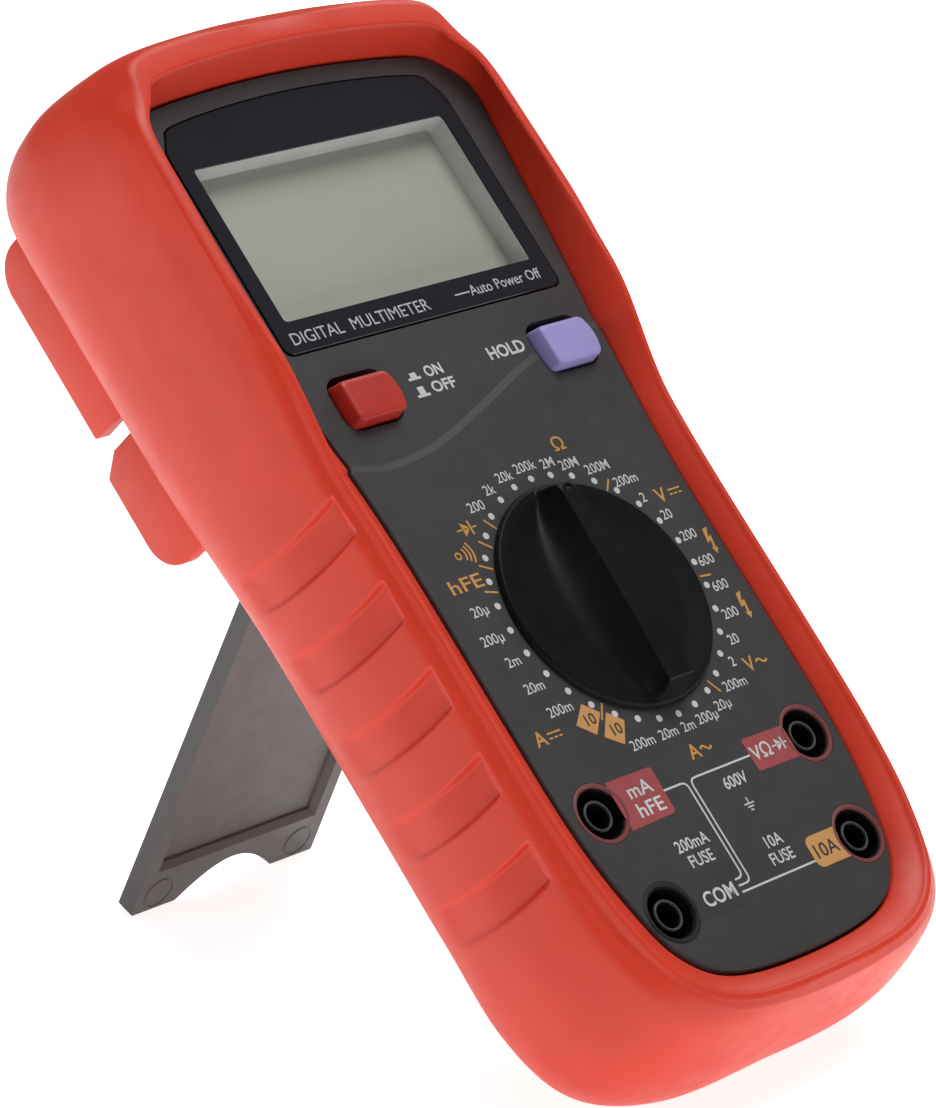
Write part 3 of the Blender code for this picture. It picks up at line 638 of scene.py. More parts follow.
def face_rings():
    """The face's rings, from its rounded edge down its skirt, and back up the skirt's inside."""
    steps = [max(4, round(parts / 2)) for parts in STEPS]
    outline = smooth_loop(OPENING, steps)
    shoulder = FACE_UNDER - GAP
    edge = [(1.1, 0.0), (0.85, -0.04), (0.6, -0.2), (0.45, -0.5), (0.38, -0.9), (GAP, -1.3)]
    rings = [level(notched(inset(outline, distance)), z) for distance, z in edge]
    rings.append(level(notched(inset(outline, GAP)), shoulder))
    rings.append(level(inside_holster(GAP, steps), shoulder))
    rings.append(level(inside_holster(GAP, steps), CASE_SPLIT))
    skirt_inside = inside_holster(2.4, steps)
    top_inside = inset(outline, 3.0)
    rings.append(level(skirt_inside, CASE_SPLIT))
    rings.append(level(skirt_inside, shoulder - 2.2))
    rings.append(level(top_inside, shoulder - 2.2))
    rings.append(level(top_inside, FACE_UNDER))
    return rings


def lowered_area():
    """What is cut from the face above the crease: a thin layer whose lower edge slopes."""
    top, bottom = crease_line(CREASE_WIDTH), crease_line(0.0)
    corners = [Vector((60, 120)), Vector((-60, 120))]
    lower_ring = [(*point, -CREASE_DROP) for point in top] + [(*point, -CREASE_DROP) for point in corners]
    upper_ring = [(*point, 0.001) for point in bottom] + [(*point, 0.001) for point in corners]
    high_ring = [(*point, 1.0) for point in bottom] + [(*point, 1.0) for point in corners]
    return loft_shape([lower_ring, upper_ring, high_ring])


def lens_outline(margin):
    """The display lens: an arched top with chamfered corners, grown by margin."""
    side = LENS_SIDE + margin
    bottom = LENS_BOTTOM - margin
    half = [(side - 1.6, bottom), (side - 0.5, bottom + 0.5), (side, bottom + 1.6), (side, 97.6)]
    half += [(side - 0.15, 98.6), (side - 0.6, 99.5), (31.6 + margin, 102.4 + margin * 0.6)]
    half += [(30.6 + margin, 103.0 + margin * 0.8), (28.6, 103.5 + margin)]
    arch = [(x, 105.5 + margin - 2.3 * (x / 31.2) ** 2) for x in (24, 20, 16, 12, 8, 4, 0)]
    right = half + arch
    return right + [(-x, y) for x, y in reversed(right[:-1])]


def window_outline(margin, corner=0.9):
    """The display window, grown by margin."""
    half_x = WINDOW_HALF_WIDTH + margin
    return rounded_rectangle(half_x, WINDOW_HALF_HEIGHT + margin, corner, WINDOW_MIDDLE)


def face_cutters():
    """The lens's recess and the holes for the window, the buttons, the selector and the jacks."""
    yield slab_shape(lens_outline(GAP), LENS_RECESS, ABOVE_FACE)
    yield slab_shape(window_outline(1.2, 1.0), HOLE_UNDER, ABOVE_FACE)
    for x in BUTTON_X.values():
        hole = rounded_rectangle(*BUTTON_HALF, 3.3, (x + BUTTON_HOLE_SHIFT, BUTTON_Y))
        yield slab_shape(hole, HOLE_UNDER, ABOVE_FACE)
    yield slab_shape(circle((DIAL_X, 0), 8.4, 48), HOLE_UNDER, ABOVE_FACE)
    for centre in JACKS.values():
        yield slab_shape(circle(centre, JACK_RING + 0.06, 72), JACK_HOLE_UNDER, ABOVE_FACE)


def build_face():
    shape = carve(loft_shape(face_rings()), [lowered_area()] + list(face_cutters()))
    piece_from("face_cover", shape, "face", nodes=["front_case"], smooth=8)


# ---- printing

CAP_HEIGHT = 0.682
LETTER_HALF_DEPTH = 0.03


def text_shape(words, centre, height, condense, weight, top=PRINT_TOP):
    """Words as thin solid letters, their capitals height mm tall, centred on a point of the face."""
    curve = bpy.data.curves.new("words", "FONT")
    curve.body = words
    curve.size = height / CAP_HEIGHT
    curve.align_x = "CENTER"
    curve.offset = weight * height
    curve.extrude = LETTER_HALF_DEPTH
    curve.resolution_u = 3
    shape = taken_from(linked("words", curve))
    bmesh.ops.remove_doubles(shape, verts=shape.verts, dist=1e-5)
    for vert in shape.verts:
        x = centre[0] + vert.co.x * condense
        y = centre[1] + vert.co.y - height / 2
        vert.co = (x, y, top - LETTER_HALF_DEPTH + vert.co.z)
    return shape


def all_words(entries, top=PRINT_TOP):
    """Several words as one shape: each entry has the words, centre, height, condense and weight."""
    shape = bmesh.new()
    for entry in entries:
        add_shape(shape, text_shape(*entry, top))
    return shape


def printed(outline, top=PRINT_TOP):
    """A printed patch."""
    return slab_shape(outline, top - PRINT_DEPTH, top)


def ribbon(points, width, top=PRINT_TOP):
    """A printed line of the given width through points."""
    spots = [Vector(point) for point in points]
    left, right = [], []
    for index, spot in enumerate(spots):
        ahead = spots[min(index + 1, len(spots) - 1)]
        behind = spots[max(index - 1, 0)]
        along = (ahead - behind).normalized()
        across = Vector((-along.y, along.x)) * width / 2
        left.append(spot + across)
        right.append(spot - across)
    return printed(right + left[::-1], top)


def rounded_route(points, radius, steps=5):
    """The points of a route with its inner corners rounded."""
    spots = [Vector(point) for point in points]
    route = [spots[0]]
    for before, corner, after in zip(spots, spots[1:], spots[2:]):
        start = corner + (before - corner).normalized() * radius
        end = corner + (after - corner).normalized() * radius
        for step in range(steps + 1):
            t = step / steps
            route.append(start * (1 - t) ** 2 + corner * 2 * t * (1 - t) + end * t * t)
    return route + [spots[-1]]


def polar(radius, degrees):
    return (radius * math.cos(math.radians(degrees)), radius * math.sin(math.radians(degrees)))


# Each dial label, clockwise from the first dot right of the top: its words, how far out its
# middle is, and how many degrees it is nudged from its dot. None is a symbol or a patch.
DIAL_LABELS = [
    ("2M", 26.5, -3.5), ("20M", 26.8, -2.4), ("200M", 27.8, -3.8),
    ("200m", 28.1, -4.6), ("2", 26.8, -2.0), ("20", 27.4, -1.5), ("200", 28.0, -0.9), ("600", 27.9, -0.7),
    ("600", 28.0, 0.0), ("200", 28.0, 0.0), ("20", 27.5, 0.0), ("2", 27.2, 1.0), ("200m", 28.4, 3.4),
    ("20µ", 27.8, 2.6), ("200µ", 27.0, 3.4), ("2m", 26.4, 3.6), ("20m", 26.4, 3.9), ("200m", 27.9, 1.6),
    None, None, ("200m", 27.4, 1.0), ("20m", 27.0, 0.4), ("2m", 26.4, 0.0), ("200µ", 27.3, 0.8),
    ("20µ", 26.8, 0.7),
    None, None, None,
    ("200", 26.3, -1.8), ("2k", 26.0, -2.0), ("20k", 26.1, -1.8), ("200k", 26.3, -2.9),
]
# The short lines between the ranges: the angle and the inner and outer radius of each.
DIVIDERS = [
    (48.4, 23.5, 26.2), (-5.6, 24.4, 27.1), (-59.4, 23.5, 26.5), (-126.6, 21.8, 25.2),
    (162.4, 21.4, 24.2), (150.4, 21.4, 24.2), (138.6, 21.4, 24.2), (126.8, 21.4, 24.2),
]


def dial_prints():
    """The white dots and figures round the selector."""
    shape = bmesh.new()
    for index, label in enumerate(DIAL_LABELS):
        angle = DIAL_START - DIAL_STEP * index
        x, y = polar(DIAL_RADIUS, angle)
        dot = circle((x + DIAL_PRINT_X, y), 0.64, 20)
        add_shape(shape, slab_shape(dot, PRINT_UNDER, PRINT_TOP + 0.02))
        if label:
            words, radius, nudge = label
            add_shape(shape, text_shape(words, polar(radius, angle + nudge), 1.85, 0.97, 0.004))
    return shape


def direct_sign(centre, width):
    """The sign for direct current: a line over three dashes."""
    x, y = centre
    shape = ribbon([(x - width / 2, y + 0.45), (x + width / 2, y + 0.45)], 0.32)
    reach = width * 0.12
    for shift in (-1, 0, 1):
        middle = x + shift * width * 0.37
        add_shape(shape, ribbon([(middle - reach, y - 0.45), (middle + reach, y - 0.45)], 0.32))
    return shape


def alternating_sign(centre, width):
    """The sign for alternating current: one wave."""
    points = []
    for step in range(13):
        t = step / 12
        points.append((centre[0] + (t - 0.5) * width, centre[1] + 0.42 * math.sin(2 * math.pi * t)))
    return ribbon(points, 0.42)


def bolt_mark(centre):
    """A small zigzag arrow for high voltage ranges."""
    x, y = centre
    outline = [
        (1.1, 2.7), (-0.2, 2.5), (-0.7, -0.15), (0.25, 0.05), (-0.1, -1.3), (-0.55, -1.15),
        (0.1, -2.6), (0.95, -1.45), (0.5, -1.4), (0.95, 1.1), (0.15, 0.85),
    ]
    return printed([(x + across, y + up) for across, up in outline])


def diode_mark(centre, size, top=PRINT_TOP):
    """A triangle against a bar, on a line."""
    x, y = centre
    back = x - size * 0.55
    shape = printed([(back, y + size), (back, y - size), (x + size * 0.75, y)], top)
    add_shape(shape, ribbon([(x + size * 0.85, y - size), (x + size * 0.85, y + size)], size * 0.3, top))
    add_shape(shape, ribbon([(x - size * 1.6, y), (x + size * 1.9, y)], size * 0.22, top))
    return shape


def sounder_mark(centre):
    """A small ring and three arcs."""
    source = (centre[0] - 1.9, centre[1])
    under = PRINT_TOP - PRINT_DEPTH
    shape = turned_shape([(0.75, under), (0.75, PRINT_TOP), (0.45, PRINT_TOP), (0.45, under)], source, 20)
    for radius, spread in ((1.75, 38), (2.6, 34), (3.45, 34)):
        add_shape(shape, ribbon(arc(source, radius, -spread, spread, 8), 0.36))
    return shape


ORANGE_WORDS = [
    ("Ω", (11.1, 28.5), 2.5, 1.15, 0.012), ("V", (26.8, 13.9), 2.6, 1.0, 0.022),
    ("V", (23.3, -20.0), 2.6, 1.0, 0.022), ("A", (0.0, -30.8), 2.6, 1.0, 0.022),
    ("A", (-29.8, -19.6), 2.6, 1.0, 0.022), ("hFE", (-26.0, 9.6), 2.5, 1.5, 0.016),
]
PATCH_LEFT = [(-17.3, -16.4), (-14.5, -18.9), (-17.8, -22.3), (-20.9, -19.6)]
PATCH_RIGHT = [(-13.3, -19.2), (-10.5, -21.6), (-13.3, -25.5), (-16.6, -23.1)]


def orange_prints():
    shape = all_words(ORANGE_WORDS)
    for angle, inner, outer in DIVIDERS:
        add_shape(shape, ribbon([polar(inner, angle), polar(outer, angle)], 0.36))
    for centre in ((30.4, 13.9), (-26.3, -19.7)):
        add_shape(shape, direct_sign(centre, 3.2))
    for centre in ((26.4, -20.1), (3.0, -30.9)):
        add_shape(shape, alternating_sign(centre, 2.7))
    for centre in ((31.4, 3.1), (30.0, -9.9)):
        add_shape(shape, bolt_mark(centre))
    add_shape(shape, sounder_mark((-22.2, 14.6)))
    add_shape(shape, diode_mark((-19.2, 18.8), 1.35))
    return shape


def orange_patches():
    shape = bmesh.new()
    for corners in (PATCH_LEFT, PATCH_RIGHT):
        add_shape(shape, slab_shape(corners, PRINT_UNDER, PRINT_TOP))
    outline = arc((13.0, -53.2), 1.5, 90, 180, 5) + arc((13.0, -56.1), 1.5, 180, 270, 5)
    outline += [(19.7, -57.6), (19.3, -54.6), (19.9, -51.7)]
    return add_shape(shape, slab_shape(outline, PRINT_UNDER, PRINT_TOP))


def red_patches():
    left = [
        (-22.3, -30.4), (-11.4, -30.5), (-11.0, -30.9), (-11.2, -38.8), (-11.7, -39.3), (-22.3, -39.6),
    ]
    right = [(22.0, -32.1), (11.6, -31.9), (11.2, -32.3), (11.3, -37.8), (11.7, -38.2), (22.0, -38.3)]
    shape = slab_shape(left, PRINT_UNDER, PRINT_TOP)
    return add_shape(shape, slab_shape(right, PRINT_UNDER, PRINT_TOP))


def white_lines():
    """The bracket lines that join the jacks which are used together."""
    shape = bmesh.new()
    routes = (
        [(-11.2, -35.2), (-5.6, -35.2), (-5.6, -53.6), (-7.7, -53.6)],
        [(11.2, -35.0), (-4.5, -35.0), (-4.5, -54.8), (-7.7, -54.8)],
        [(-7.7, -56.0), (11.6, -56.0)],
    )
    for route in routes:
        add_shape(shape, ribbon(rounded_route(route, 1.3), 0.36))
    return shape


def button_mark(centre, height):
    """A little picture of a button, seen from the side, on its panel."""
    x, y = centre
    base = slab_shape(box_outline(x - 1.5, y - 0.95, x + 1.5, y - 0.45), 0, PRINT_TOP)
    cap = box_outline(x - 0.75, y - 0.5, x + 0.75, y - 0.5 + height)
    return add_shape(base, slab_shape(cap, 0, PRINT_TOP))


def lowered(shape):
    """A shape moved down onto the part of the face above the crease."""
    bmesh.ops.translate(shape, vec=(0, 0, -CREASE_DROP), verts=shape.verts)
    return shape


BUTTON_WORDS = [
    ("ON", (-5.6, 48.0), 2.0, 0.94, 0.035), ("OFF", (-5.3, 44.9), 2.0, 1.12, 0.035),
    ("HOLD", (12.7, 47.95), 2.3, 0.98, 0.035),
]
JACK_WORDS = [
    ("COM", (-12.6, -54.9), 2.6, 0.92, 0.025), ("600V", (4.9, -38.0), 2.1, 0.9, 0.016),
    ("200mA", (-11.9, -45.0), 2.1, 0.88, 0.016), ("FUSE", (-11.9, -48.1), 2.1, 0.9, 0.016),
    ("10A", (5.0, -49.9), 2.1, 0.9, 0.016), ("FUSE", (5.0, -53.0), 2.1, 0.9, 0.016),
]
RED_PATCH_WORDS = [
    ("mA", (-16.1, -33.3), 2.5, 1.12, 0.018), ("hFE", (-15.8, -36.9), 2.5, 1.22, 0.018),
    ("VΩ", (14.3, -35.0), 2.5, 1.02, 0.018),
]
ORANGE_PATCH_WORDS = [
    ("10", (-17.6, -19.4), 2.0, 1.0, 0.014), ("10", (-13.4, -22.5), 2.0, 1.0, 0.014),
    ("10A", (15.0, -54.7), 2.5, 1.05, 0.01),
]


def earth_mark(x, y):
    """The sign for earth: a stem over three lines that grow shorter."""
    shape = ribbon([(x, y + 1.2), (x, y)], 0.26)
    for row, half in enumerate((1.2, 0.75, 0.35)):
        height = y - 0.6 * row
        add_shape(shape, ribbon([(x - half, height), (x + half, height)], 0.26))
    return shape


def function_words():
    upper = all_words(BUTTON_WORDS)
    add_shape(upper, button_mark((-10.6, 48.0), 0.95))
    add_shape(upper, button_mark((-10.7, 44.6), 1.55))
    shape = add_shape(lowered(upper), all_words(JACK_WORDS))
    return add_shape(shape, earth_mark(4.9, -42.6))


def patch_words():
    shape = all_words(RED_PATCH_WORDS, OVERPRINT_TOP)
    return add_shape(shape, diode_mark((18.9, -35.0), 1.15, OVERPRINT_TOP))


def build_prints():
    dark_patch = slab_shape(box_outline(-19.5, -58.0, -7.0, -51.6), PRINT_UNDER, PRINT_TOP - 0.02)
    pieces = (
        ("print_dial_figures", dial_prints(), "white_print"),
        ("print_orange_signs", orange_prints(), "orange_print"),
        ("print_orange_patches", orange_patches(), "orange_patch"),
        ("print_red_patches", red_patches(), "red_patch"),
        ("print_dark_patch", dark_patch, "dark_patch"),
        ("print_lines", white_lines(), "white_print"),
        ("print_function_words", function_words(), "white_print"),
        ("print_patch_words", patch_words(), "white_print"),
        ("print_dark_words", all_words(ORANGE_PATCH_WORDS, OVERPRINT_TOP), "dark_patch"),
    )
    for name, shape, look in pieces:
        piece_from(name, shape, look, smooth=20)


# ---- display

LENS_WORDS = [
    ("DIGITAL  MULTIMETER", (-14.95, 59.85), 2.3, 0.98, -0.004),
    ("Auto Power Off", (21.4, 60.25), 2.0, 0.93, 0.004),
]


def build_display():
    rings = [level(lens_outline(margin), z) for margin, z in ((0.0, -0.4), (0.0, -0.12), (-0.12, 0.0))]
    border = carve(loft_shape(rings), [slab_shape(window_outline(0.0), -3.0, 3.0)])
    piece_from("display_border", border, "lens", nodes=["display_lens"], smooth=25)
    inner = slab_shape(window_outline(-WELL_STEP), -6.0, 1.0)
    well = carve(slab_shape(window_outline(0.9), LCD_TOP, WELL_TOP), [inner])
    piece_from("display_well", well, "frame", smooth=25)
    words = add_shape(all_words(LENS_WORDS), ribbon([(8.6, 60.1), (12.3, 60.1)], 0.26))
    piece_from("print_display_words", words, "silver_print", smooth=20)


# ---- selector knob

KNOB_FLOOR = 0.8
KNOB_RIM = 1.3
KNOB_TOP = 6.3
KNOB_ROWS = 48
# Rings below the knob's edge: how far in from its radius, and how far below the edge or at its foot.
KNOB_SKIRT = ((0.50, 0.06), (0.40, 0.14), (0.1, 0.62), (0.0, None))
KNOB_STEM = [(0.01, 0.8), (7.8, 0.8), (7.8, -2.6), (3.4, -2.6), (3.4, -8.0), (0.01, -8.0)]
POINTER_RING_Y = 17.8


def bar_crown(y):
    """Half-width of the bar's flat top, narrowest at the pointer end."""
    return 2.45 - 0.65 * y / 19.5


def bar_foot(y):
    """Half-width of the grip bar where it meets the scoops; widest in the middle."""
    bulge = math.cos(min(abs(y + 0.8) / 22.8, 1.0) * math.pi / 2) ** 0.7
    return max(10.4 * bulge, bar_crown(y) + 1.3)


def bar_height(y):
    """The bar's top: level, then falling steeply to the rim at the pointer and at the tail."""
    top = KNOB_TOP - 0.35 * blend(-5.0, -19.0, y)
    if y > 0:
        return top - 0.5 * blend(17.6, 19.6, y) - 4.5 * blend(19.2, 21.2, y)
    return top - 4.6 * min(max((-y - 19.4) / 1.9, 0.0), 1.0)


def knob_height(x, y):
    radius = math.hypot(x, y) / KNOB_RADIUS
    floor = KNOB_FLOOR + (KNOB_RIM - KNOB_FLOOR) * blend(0.70, 0.99, radius)
    slope = (abs(x) - bar_crown(y)) / (bar_foot(y) - bar_crown(y))
    share = min(max(slope, 0.0), 1.0)
    top = max(bar_height(y), floor)
    return floor + (top - floor) * (1 - share) ** 2.1


def knob_rows():
    """Rows of the knob's top across the bar, close together at the ends."""
    reach = KNOB_RADIUS - 0.62
    rows = []
    for step in range(-KNOB_ROWS, KNOB_ROWS + 1):
        y = reach * math.sin(math.pi / 2 * step / (KNOB_ROWS + 1.2))
        chord = math.sqrt(reach ** 2 - y ** 2)
        crown, foot = min(bar_crown(y), chord * 0.5), min(bar_foot(y), chord * 0.88)
        right = [crown * part for part in (0.33, 0.66, 0.94, 1.0)]
        right += [crown + (foot - crown) * (part / 10) for part in range(1, 11)]
        right += [foot + (chord - foot) * (part / 8) for part in range(1, 9)]
        row = [-x for x in reversed(right)] + [0.0] + right
        rows.append([(x, y, knob_height(x, y)) for x in row])
    return rows


def skirt_ring(shape, edge, inward, drop):
    ring = []
    for vert in edge:
        spot = Vector((vert.co.x, vert.co.y)).normalized() * (KNOB_RADIUS - inward)
        height = GAP if drop is None else max(min(vert.co.z, KNOB_RIM + 3.6) - drop, GAP + 0.1)
        ring.append(shape.verts.new((*spot, height)))
    return ring


def knob_shape():
    shape = bmesh.new()
    rows = [[shape.verts.new(point) for point in row] for row in knob_rows()]
    for lower, upper in zip(rows, rows[1:]):
        for index in range(len(lower) - 1):
            shape.faces.new((lower[index], lower[index + 1], upper[index + 1], upper[index]))
    edge = rows[0] + [row[-1] for row in rows[1:]] + rows[-1][-2::-1] + [row[0] for row in rows[-2:0:-1]]
    rings = [edge] + [skirt_ring(shape, edge, *step) for step in KNOB_SKIRT]
    for upper, lower in zip(rings, rings[1:]):
        join_rings(shape, upper, lower)
    shape.faces.new(rings[-1])
    return add_shape(shape, turned_shape(KNOB_STEM, (0, 0), 48))


def build_knob():
    shape = knob_shape()
    bmesh.ops.translate(shape, vec=(DIAL_X, 0, 0), verts=shape.verts)
    piece_from("selector_grip", shape, "knob", "selector", ["selector_knob"], smooth=22)
    top = bar_height(POINTER_RING_Y - 0.8)
    mark = [(1.3, top - 0.5), (1.3, top + 0.03), (0.95, top + 0.03), (0.95, top - 0.5)]
    ring = turned_shape(mark, (DIAL_X, POINTER_RING_Y), 32)
    piece_from("selector_pointer_ring", ring, "mark_black_and_painted_shade", "selector", smooth=30)


# ---- buttons

CAP_CORNER = 0.9
# Each ring's half sizes, the bulge of its left and right ends, its height and its shift up the face.
CAP_RINGS = [
    (5.70, 4.3, 0.25, 1.0, -2.9, -0.35), (5.70, 4.3, 0.25, 1.0, -0.8, -0.35),
    (5.46, 3.98, 0.10, 1.0, 2.05, -0.62), (5.38, 3.86, 0.08, 0.98, 2.25, -0.66),
    (5.22, 3.68, 0.06, 0.96, 2.42, -0.68), (4.95, 3.44, 0.05, 0.92, 2.52, -0.70),
    (4.45, 3.04, 0.04, 0.85, 2.55, -0.70),
]
FLANGE_RINGS = [(7.0, 5.5, 0.7, 1.2, -3.9, 0.0), (7.0, 5.5, 0.7, 1.2, -2.95, 0.0)]


def barrel(centre, half_x, half_y, bulge_left, bulge_right, z, shift):
    """A ring of a cap or its flange: straight long sides and ends that bulge."""
    points = []
    for side, bulge in ((1, bulge_right), (-1, bulge_left)):
        for step in range(-12, 13):
            t = math.sin(math.pi / 2 * step / 12)
            corner = max(0.0, (abs(t) - 1) * half_y / CAP_CORNER + 1)
            pulled = CAP_CORNER * (1 - math.sqrt(1 - corner ** 2))
            x = side * (half_x + bulge * (1 - t * t) - pulled)
            points.append((centre + x, BUTTON_Y + shift + side * t * half_y, z))
    return points


def build_buttons():
    for name, slot in (("power", "power_red"), ("hold", "hold_lavender")):
        body = f"{name}_button"
        cap = loft_shape([barrel(BUTTON_X[name], *ring) for ring in CAP_RINGS])
        piece_from(f"{name}_cap", cap, name, body, [body], smooth=35)
        # The flange is near-black painted shade, seen in the gap round the cap.
        flange = loft_shape([barrel(BUTTON_X[name], *ring) for ring in FLANGE_RINGS])
        piece_from(f"{name}_flange", flange, "mark_black_and_painted_shade", body, smooth=35)


# ---- jacks

SLEEVE_PROFILE = [
    (JACK_RING, JACK_BOTTOM), (3.2, JACK_BOTTOM), (3.2, JACK_BOTTOM + 1.5), (JACK_WELL, JACK_BOTTOM + 1.5),
    (JACK_WELL, -0.25), (JACK_WELL + 0.12, -0.02), (JACK_WELL + 0.3, 0.12),
    (JACK_RING - 0.22, 0.12), (JACK_RING - 0.06, 0.04), (JACK_RING, -0.12),
]
LINER_PROFILE = [
    (JACK_WELL - 0.02, JACK_BOTTOM + 1.6), (3.0, JACK_BOTTOM + 1.6), (3.0, JACK_BOTTOM + 1.9),
    (JACK_WELL - 0.25, JACK_BOTTOM + 1.9), (JACK_WELL - 0.25, -0.55), (JACK_WELL - 0.02, -0.35),
]
TUBE_PROFILE = [(2.85, JACK_BOTTOM), (2.85, -1.3), (2.25, -1.3), (2.25, JACK_BOTTOM)]
RIM_PROFILE = [
    (2.85, -1.32), (2.85, -1.05), (2.75, -0.93), (2.6, -0.9), (2.48, -0.92), (2.4, -1.05), (2.4, -1.32),
]


def build_jacks():
    for name, centre in JACKS.items():
        look = "jack_black" if name == "common" else "jack_red"
        sleeve = turned_shape(SLEEVE_PROFILE, centre, 72)
        piece_from(f"jack_ring_{name}", sleeve, look, nodes=[f"jack_sleeve_{name}"], smooth=35)
        # The liner and the contact tube are near-black painted shade down the jack's well, not their own
        # colours.
        liner = turned_shape(LINER_PROFILE, centre, 72)
        piece_from(f"jack_liner_{name}", liner, "mark_black_and_painted_shade", smooth=35)
        tube = turned_shape(TUBE_PROFILE, centre, 64)
        piece_from(f"jack_tube_{name}", tube, "mark_black_and_painted_shade", nodes=[f"jack_contact_{name}"])
        rim = turned_shape(RIM_PROFILE, centre, 64)
        piece_from(f"jack_rim_{name}", rim, "tube", smooth=50)


# ---- tilt stand

STAND_LENGTH = 90.8
STAND_TAIL = 1.9
FOOT_NOTCH_HALF = 15.0
FOOT_NOTCH_DEPTH = 9.2
FOOT_NOTCH_STEPS = 28
STAND_FRAME_TOP = 2.3
STAND_PLATE_TOP = 0.8
STAND_UNDER = -1.5
# The recess's rings: how far each is grown, and its height.
PANEL_RINGS = ((0.0, STAND_PLATE_TOP), (0.25, 1.25), (1.2, 2.05), (1.9, 2.6))
BOSS_X = 18.0
BOSS_Y = -84.3
BOSS_PROFILE = [
    (0.01, 1.0), (0.01, 2.36), (3.0, 2.36), (3.1, 2.31), (3.2, 2.31), (3.25, 2.42), (3.35, 2.42),
    (3.5, 2.25), (3.5, 1.0),
]
PIN_RADIUS = 1.7
PIN_SPAN = 53.4


def stand_outline():
    """The stand seen from behind when folded: y is minus the distance from the hinge."""
    notch = []
    for step in range(FOOT_NOTCH_STEPS + 1):
        share = step / FOOT_NOTCH_STEPS
        rise = FOOT_NOTCH_DEPTH * math.sin(math.pi * share)
        notch.append((FOOT_NOTCH_HALF * (1 - 2 * share), -STAND_LENGTH + rise))
    right = [(20.0, STAND_TAIL), (21.6, STAND_TAIL), (23.4, -STAND_LENGTH + 2.8), (20.8, -STAND_LENGTH)]
    return right + notch + [(-x, y) for x, y in reversed(right)]


def panel_ring(side, height):
    """The recessed panel's corners at a height, grown by side."""
    right = [(17.9 + side, -5.5 + side), (18.8 + side, -77.0 - side)]
    return level(right + [(-x, y) for x, y in reversed(right)], height)


def below_floor():
    """Everything below the floor, in the stand's own frame."""
    to_stand = STAND_TO_WORLD.inverted()
    corners = box_outline(-0.1, -0.1, 0.1, 0.2)
    return loft_shape([[to_stand @ Vector((*corner, z)) for corner in corners] for z in (0, -0.05)])


def stand_pins():
    pins = bmesh.new()
    bmesh.ops.create_cone(
        pins, cap_ends=True, segments=32, radius1=PIN_RADIUS, radius2=PIN_RADIUS, depth=PIN_SPAN,
    )
    bmesh.ops.rotate(pins, matrix=Matrix.Rotation(math.pi / 2, 3, "Y"), verts=pins.verts)
    return pins


def build_stand():
    plate = slab_shape(stand_outline(), STAND_UNDER, STAND_UNDER + 3.0)
    below_hinge = slab_shape(box_outline(-30, -100, 30, -4.5), 1.0, STAND_FRAME_TOP)
    thick = carve(slab_shape(stand_outline(), 0.0, STAND_FRAME_TOP + 1), [below_hinge], "INTERSECT")
    recess = loft_shape([panel_ring(*ring) for ring in PANEL_RINGS])
    shape = carve(plate, [thick], "UNION")
    shape = carve(shape, [recess, below_floor()])
    bmesh.ops.triangulate(shape, faces=shape.faces)
    for x in (-BOSS_X, BOSS_X):
        add_shape(shape, turned_shape(BOSS_PROFILE, (x, BOSS_Y), 40))
    add_shape(shape, stand_pins())
    piece_from("stand_plate", shape, "stand", "stand", ["tilt_stand"], 15, stand=True)


# ---- carried-over nodes

NODE_LOOKS = {
    "rear_case": "face", "battery_cover": "face", "battery_cover_screw": "steel", "battery_9v": "blue_wrap",
    "battery_lead_red": "lead_red", "main_board": "board", "piezo_buzzer": "brass",
    "shunt_wire": "brass", "lcd_frame": "frame", "lcd_glass": "lcd",
    "selector_rotor": "white_plastic", "power_plunger": "white_plastic", "hold_plunger": "white_plastic",
    "power_switch": "white_plastic", "hold_switch": "white_plastic", "fuse_milliamp": "fuse_glass",
    "fuse_ten_amp": "fuse_glass",
}
GROUP_LOOKS = {
    "case_screw": "steel", "board_screw": "steel", "detent_": "steel", "contact_wiper": "brass",
    "fuse_milliamp_clip": "brass", "fuse_ten_amp_clip": "brass", "trimmer": "blue_wrap",
}


def dress_nodes():
    """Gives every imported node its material: the dark one where neither table names it."""
    for name, node in frame["nodes"].items():
        look = NODE_LOOKS.get(name)
        if not look:
            look = next((value for start, value in GROUP_LOOKS.items() if name.startswith(start)), "resin")
        node.data.materials.clear()
        node.data.materials.append(MATERIALS[look])


# ---- studio

CAMERA_AT = (-542.3, -155.7, 506.3)
CAMERA_AIM = (-21.8, 14.5, 0.0)
LENS_MM = 146.09
FLOOR_HALF = 6.0
FLOOR_GLOW = 0.85
WORLD_STRENGTH = 0.16


def add_light(name, at, aim, size, power):
    """A rectangular light at one point, turned to another."""
    light = bpy.data.lights.new(name, "AREA")
    light.shape = "RECTANGLE"
    light.size, light.size_y = size
    light.energy = power
    obj = linked(name, light)
    obj.location = at
    obj.rotation_euler = (Vector(aim) - Vector(at)).to_track_quat("-Z", "Y").to_euler()


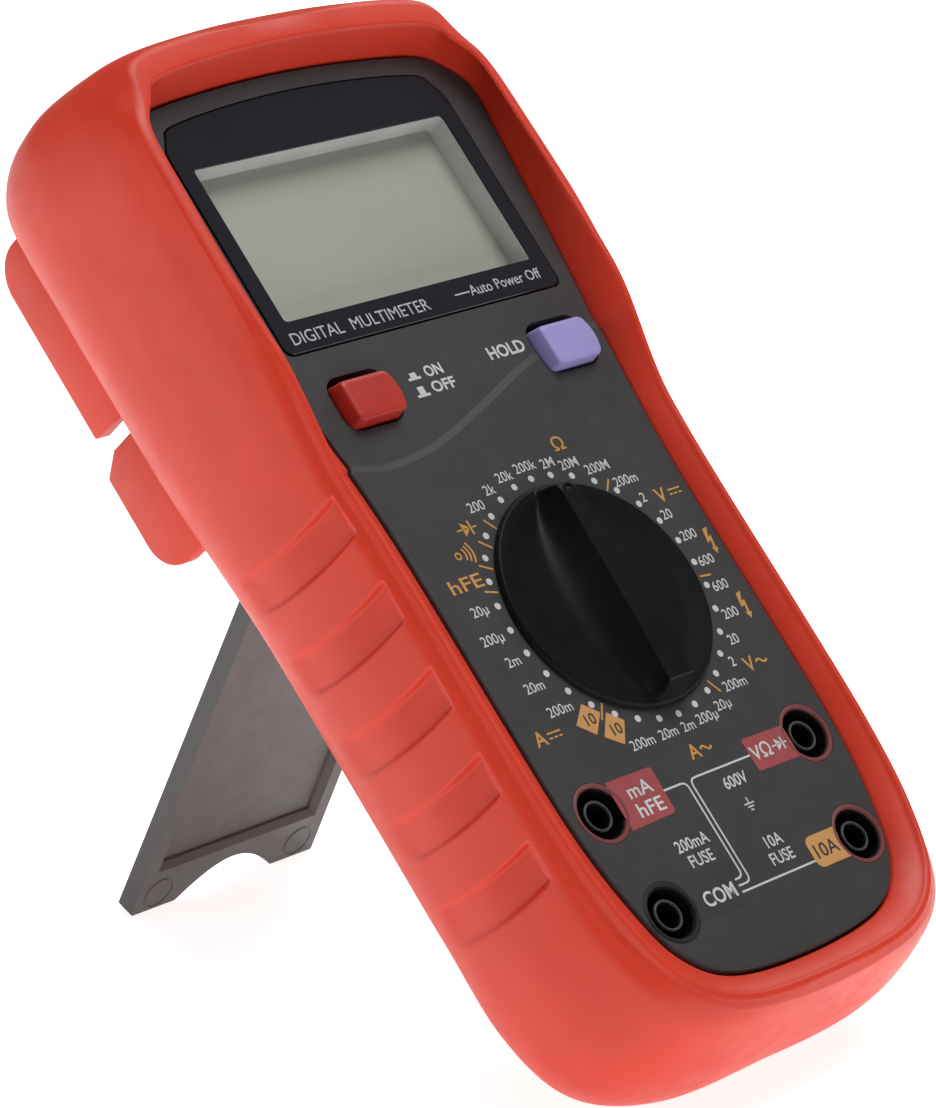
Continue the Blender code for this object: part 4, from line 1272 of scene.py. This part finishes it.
def add_sun(name, azimuth, elevation, strength, angle):
    """A distant soft light from an azimuth (0 behind the viewer of the face, 90 on the right)."""
    light = bpy.data.lights.new(name, "SUN")
    light.energy = strength
    light.angle = math.radians(angle)
    obj = linked(name, light)
    turn, rise = math.radians(azimuth), math.radians(elevation)
    source = Vector((math.sin(turn) * math.cos(rise), -math.cos(turn) * math.cos(rise), math.sin(rise)))
    obj.rotation_euler = source.to_track_quat("Z", "Y").to_euler()


def floor_material():
    made = surface("pale_floor", (0.90, 0.90, 0.90), 0.7, grain=2.0, spread=0.01, cloud=300.0)
    shader = made.node_tree.nodes["Principled BSDF"]
    shader.inputs["Emission Color"].default_value = (1, 1, 1, 1)
    shader.inputs["Emission Strength"].default_value = FLOOR_GLOW
    shader.inputs["Specular IOR Level"].default_value = 0.2
    return made


def build_studio():
    shape = bmesh.new()
    bmesh.ops.create_grid(shape, x_segments=1, y_segments=1, size=FLOOR_HALF)
    floor_mesh = mesh_of(shape, "floor")
    floor_mesh.materials.append(floor_material())
    floor = linked("floor", floor_mesh)
    world = bpy.data.worlds.new("studio")
    world.use_nodes = True
    background = world.node_tree.nodes["Background"]
    background.inputs["Color"].default_value = (1.0, 1.0, 1.0, 1)
    background.inputs["Strength"].default_value = WORLD_STRENGTH
    bpy.context.scene.world = world
    add_sun("key", azimuth=60, elevation=78, strength=2.45, angle=40)
    add_light("back_box", at=(0.80, 0.35, 0.80), aim=(0, 0.03, 0.13), size=(0.5, 0.5), power=2.0)
    add_light("side_box", at=(-0.80, 0.45, 0.10), aim=(0, 0, 0.09), size=(0.30, 0.8), power=1.2)


def build_camera():
    camera = bpy.data.cameras.new("camera")
    camera.lens = LENS_MM
    camera.sensor_width = 36.0
    camera.clip_start = 0.01
    obj = linked("camera", camera)
    at = FLAT_TO_WORLD @ Vector(CAMERA_AT)
    aim = FLAT_TO_WORLD @ Vector(CAMERA_AIM)
    obj.location = at
    obj.rotation_euler = (aim - at).to_track_quat("-Z", "Y").to_euler()
    bpy.context.scene.camera = obj


def main():
    bpy.context.scene.view_settings.view_transform = "Standard"
    build_camera()
    build_studio()
    dress_nodes()
    build_holster()
    build_face()
    build_prints()
    build_display()
    build_knob()
    build_buttons()
    build_jacks()
    build_stand()


main()
